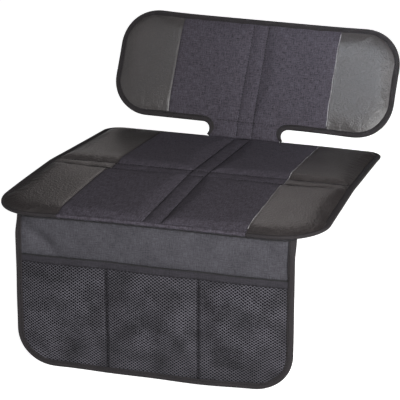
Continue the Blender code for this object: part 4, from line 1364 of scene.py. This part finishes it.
def make_stitches(name, runs, radius=THREAD_RADIUS):
    """One mesh of all the stitches of some runs. A stitch is five square rings on a low cosine
    arc."""
    share = np.linspace(-0.5, 0.5, 5)
    rise = radius * (1.6 * np.cos(share * np.pi) - 0.9)
    thick = radius * np.array([0.55, 0.95, 1.0, 0.95, 0.55])
    turn = np.radians([45, 135, 225, 315])
    along = np.repeat(share * STITCH_LENGTH, 4)
    sideways = (thick[:, None] * np.cos(turn)).ravel()
    upwards = (rise[:, None] + thick[:, None] * np.sin(turn)).ravel()
    template = np.concatenate([strip_faces(5, 4, closed=True), [[3, 2, 1, 0], [16, 17, 18, 19]]])
    middle, way, normal = (np.concatenate([run[k] for run in runs]) for k in range(3))
    cross = np.cross(normal, way)
    points = (
        middle[:, None, :]
        + along[None, :, None] * way[:, None, :]
        + sideways[None, :, None] * cross[:, None, :]
        + upwards[None, :, None] * normal[:, None, :]
    )
    faces = template[None] + np.arange(len(middle))[:, None, None] * 20
    return new_piece(name, points, faces.reshape(-1, 4), THREAD)


print(f"stitches {STITCH_LENGTH * 1000} mm long, one each {STITCH_PITCH * 1000} mm")

# %% [markdown]
# The thread runs along the tapes' inner edges, the channels, the neck's top and the pockets. Every
# row reuses the outline or the channel that it holds down, so it can't miss it.

# %% Where the mat is stitched
SEWN_LIP = 0.148  # the side tapes' stitching stops this far before their ends
SEWN_SLOT = 0.015  # and the back tape's this far from its own
STITCH_INSET = TAPE_WIDTH - 0.0022
ON_TAPE = TAPE_UPPER + 0.0003
ON_COVER = LOW_MIDDLE + 0.0010
ON_FLAP_TAPE = -0.1080
ON_HEM = HEM_FOOT + 0.0016


def make_all_stitches():
    """Three meshes: on the edging, in the channels and on the flap, whose thread is thinner."""
    edging, near = [], PAD_START + 0.001
    for side in (-1, 1):
        points, out, length = seat_side_path(side)
        q = (points - out * STITCH_INSET)[length < length[-1] - SEWN_LIP]
        edging.append(line_on(seat_xyz, q[:, 0], q[:, 1], ON_TAPE))
    points, out, length = back_path()
    q = (points - out * STITCH_INSET)[np.minimum(length, length[-1] - length) > SEWN_SLOT]
    edging.append(line_on(back_xyz, q[:, 0], q[:, 1], ON_TAPE))
    channels = []
    for side in (-1, 1):
        v = np.linspace(LIP_WIDTH, SEAT_DEPTH - near, 200)
        channels.append(line_on(seat_xyz, np.full_like(v, side * CHANNEL_HALF), v, ON_COVER))
        h = np.linspace(0.004, BACK_TOP - near, 120)
        channels.append(line_on(back_xyz, np.full_like(h, side * CHANNEL_HALF), h, ON_COVER))
    for v in (CHANNEL_START, CHANNEL_END):
        u = np.linspace(near - SEAT_WIDTH / 2, SEAT_WIDTH / 2 - near, 200)
        channels.append(line_on(seat_xyz, u, np.full_like(u, v), ON_COVER))
    u = np.linspace(near - NECK_HALF, NECK_HALF - near, 60)
    channels.append(line_on(back_xyz, u, np.full_like(u, NECK_STITCH), ON_COVER))
    points, out, _ = flap_path()
    q = points - out * STITCH_INSET
    flap = [on_flap(q[:, 0], q[:, 1], ON_FLAP_TAPE)]
    for u in DIVIDERS:
        z = np.linspace(HEM_TOP, FLAP_BOTTOM + TAPE_WIDTH, 60)
        flap.append(on_flap(np.full_like(z, u), z, NET_Y - 0.0009))
    u = filled([0.012 - FLAP_WIDTH / 2, FLAP_WIDTH / 2 - 0.012], 0.004)
    z = np.full_like(u, ON_HEM)
    flap.append(on_flap(u, z, NET_Y - 0.0013 - pocket_stand(u, z)))
    return [
        make_stitches("tape_stitches", edging),
        make_stitches("channel_stitches", channels),
        make_stitches("flap_stitches", flap, 0.7 * THREAD_RADIUS),
    ]


stitches = make_all_stitches()

# %% [markdown]
# The right panels' folded leather edge shows as a pale line, and its pale colour is a painted
# highlight. It could be a stripe in the material, but it stands proud in the photograph and catches
# the light, so it is a thin cord on the seam.

# %% Raised seam edges, pale as a painted highlight
def seam_cord(section, normal, radius):
    """Cord along the covers' own seam line, lifted by its radius, that wavers a little. Its pale
    colour is a painted highlight.
    """
    line = SEAM_LINES[section][3:-3]
    number = np.arange(len(line))
    lift = radius + 0.0002 + 0.0001 * np.sin(number * 0.9)
    waver = (0.0003 * np.sin(number * 0.5))[:, None] * np.array([1.0, 0, 0])
    centres, normals = line + lift[:, None] * normal + waver, np.tile(normal, (len(line), 1))
    return tube(f"{section}_seam_edge", centres, normals, radius, SEAM_HIGHLIGHT_EDGE, 6)


seam_cord("seat", np.array([0.0, 0.0, 1.0]), 0.00035)
seam_cord("back", BACK_NORMAL, 0.0007)

# %% [markdown]
# Whoever reuses the mat has to know what is soft. The flap and the sheets under the seat and behind
# the back section were cut straight to their finished size, with round corners.

print("declared", len(seat_covers + back_covers + foams), "padded pieces and 3 sheets")

# %% [markdown]
# The studio. The floor looks white to the camera because it glows a little for the camera and in
# reflections only, while the mat's soft shadow still shows on it. Making it white with more lamps
# would burn out the mat.

# %% Floor
FLOOR_Z = FLAP_BOTTOM - 0.004
FLOOR_REACH = 6.0
FLOOR_GLOW = 0.94


def seen_directly(tree):
    """1 for the camera's rays and for reflected and transmitted ones, 0 for rays that gather
    light."""
    seen = 0.0
    for word in ("Camera", "Glossy", "Transmission"):
        ray = add_node(tree, "LightPath", {}, f"Is {word} Ray")
        seen = add_node(tree, "Math", {0: ray, 1: seen}, operation="MAXIMUM")
    return seen


def make_floor():
    """One large square."""
    corners = np.array([[-1, -1], [1, -1], [1, 1], [-1, 1]]) * FLOOR_REACH
    mesh = bpy.data.meshes.new("floor")
    mesh.from_pydata([(x, y, FLOOR_Z) for x, y in corners.tolist()], [], [[0, 1, 2, 3]])
    material, tree, shader = new_material("painted_floor", "D8D8D8", 0.9, 0.0)
    glow = added_up(tree, 0.0, (seen_directly(tree), FLOOR_GLOW))
    shader.inputs["Emission Color"].default_value = (1, 1, 1, 1)
    tree.links.new(glow, shader.inputs["Emission Strength"])
    mesh.materials.append(material)
    floor = bpy.data.objects.new("floor", mesh)
    bpy.context.scene.collection.objects.link(floor)
    print(f"floor: {2 * FLOOR_REACH} m wide at {FLOOR_Z:.3f} m")


make_floor()

# %% [markdown]
# The world is white to the camera. In reflections it is white in front of the mat and dim behind
# it, like a studio whose soft lamps stand near the camera, and it gathers as a faint even light.
# A picture of a studio could do this, but a ramp from front to back is all that the leather shows.

# %% World
EVEN_LIGHT = 0.09
DIM_BEHIND = 0.05  # strength of the world mirrored from behind the mat


def make_world(even, behind):
    """Strength: 1 for the camera, in reflections from 1 towards the camera's side to a dim level
    behind, and an even level for gathered light."""
    world = bpy.data.worlds.new("studio")
    bpy.context.scene.world = world
    world.use_nodes = True
    tree = world.node_tree
    where = add_node(tree, "TexCoord", {}, "Generated")
    forward = add_node(tree, "SeparateXYZ", {0: where}, "Y")
    limits = {0: forward, 1: -0.3, 2: 0.5, 3: 1.0, 4: behind}
    mirror_level = add_node(tree, "MapRange", limits, interpolation_type="SMOOTHSTEP")
    camera = add_node(tree, "LightPath", {}, "Is Camera Ray")
    seen = seen_directly(tree)
    level = added_up(tree, even, (seen, -even), (seen, mirror_level))
    level = add_node(tree, "Math", {0: level, 1: camera}, operation="MAXIMUM")
    tree.links.new(level, tree.nodes["Background"].inputs["Strength"])
    tree.nodes["Background"].inputs["Color"].default_value = (1, 1, 1, 1)
    print("world: even light", even, "and", behind, "mirrored behind the mat")


make_world(EVEN_LIGHT, DIM_BEHIND)

# %% [markdown]
# The shadows and the darker left side in the photograph say that its main light is low on the
# right, so a large lamp stands there and two weak ones fill in beside it. The leather needs light
# to mirror: two narrow bluish beams from above give the back section's right panel its cool sheen,
# and a warm one from behind skims over the seat.

# %% Lamps
def make_lamp(name, place, size, power, target=(0, 0.1, 0), beam=180, colour=(1, 1, 1)):
    """Square area lamp that faces a point, with its beam's angle in degrees."""
    data = bpy.data.lights.new(name, "AREA")
    data.size = size
    data.energy = power
    data.spread = math.radians(beam)
    data.color = colour
    lamp = bpy.data.objects.new(name, data)
    bpy.context.scene.collection.objects.link(lamp)
    way = np.array(target, float) - np.array(place, float)
    tilt = math.atan2(math.hypot(way[0], way[1]), -way[2])
    lamp.location = place
    lamp.rotation_euler = (tilt, 0, math.atan2(-way[0], way[1]))
    print(f"lamp {name}: {power} W")


COOL, WARM = (0.84, 0.92, 1.0), (1.0, 0.93, 0.91)
make_lamp("low_right", (0.9, -1.5, 0.5), 0.8, 40)
make_lamp("near_front", (0.5, -0.9, 0.7), 0.4, 2.0)
make_lamp("near_right", (0.9, -0.4, 0.6), 0.4, 5.5)
make_lamp("gloss", (-0.05, -0.58, 1.32), 0.4, 0.88, (0.27, 0.46, 0.34), 34, COOL)
make_lamp("gloss_right", (0.52, -0.5, 1.37), 0.3, 0.10, (0.30, 0.46, 0.16), 20, COOL)
make_lamp("behind", (-0.55, 2.2, 1.05), 0.9, 0.56, (0, 0, 0), 60, WARM)

# %% [markdown]
# The camera was fitted to points of the photograph's outline and seams. Only a fit gives both its
# place and its long lens, which makes the mat look flat and near.

# %% Camera
SENSOR_WIDTH, LENS = 36, 138.2  # millimetres
CAMERA_PLACE = (0.6178, -1.8942, 0.7059)
LOOKS_DOWN, TURNED, ROLLED = 19.5179, 17.1051, -0.1757  # degrees


def make_camera():
    """Turns by its three angles: down from level, round the upright and round its own axis."""
    data = bpy.data.cameras.new("camera")
    data.sensor_width = SENSOR_WIDTH
    data.lens = LENS
    data.clip_end = 50
    camera = bpy.data.objects.new("camera", data)
    bpy.context.scene.collection.objects.link(camera)
    camera.location = CAMERA_PLACE
    look = Euler((math.radians(90 - LOOKS_DOWN), 0, math.radians(TURNED)), "XYZ").to_matrix()
    roll = Matrix.Rotation(math.radians(ROLLED), 3, "Z")
    camera.rotation_euler = (look @ roll).to_euler("XYZ")
    bpy.context.scene.camera = camera
    print("camera with a lens of", LENS, "mm")


make_camera()
bpy.context.scene.view_settings.view_transform = "Standard"
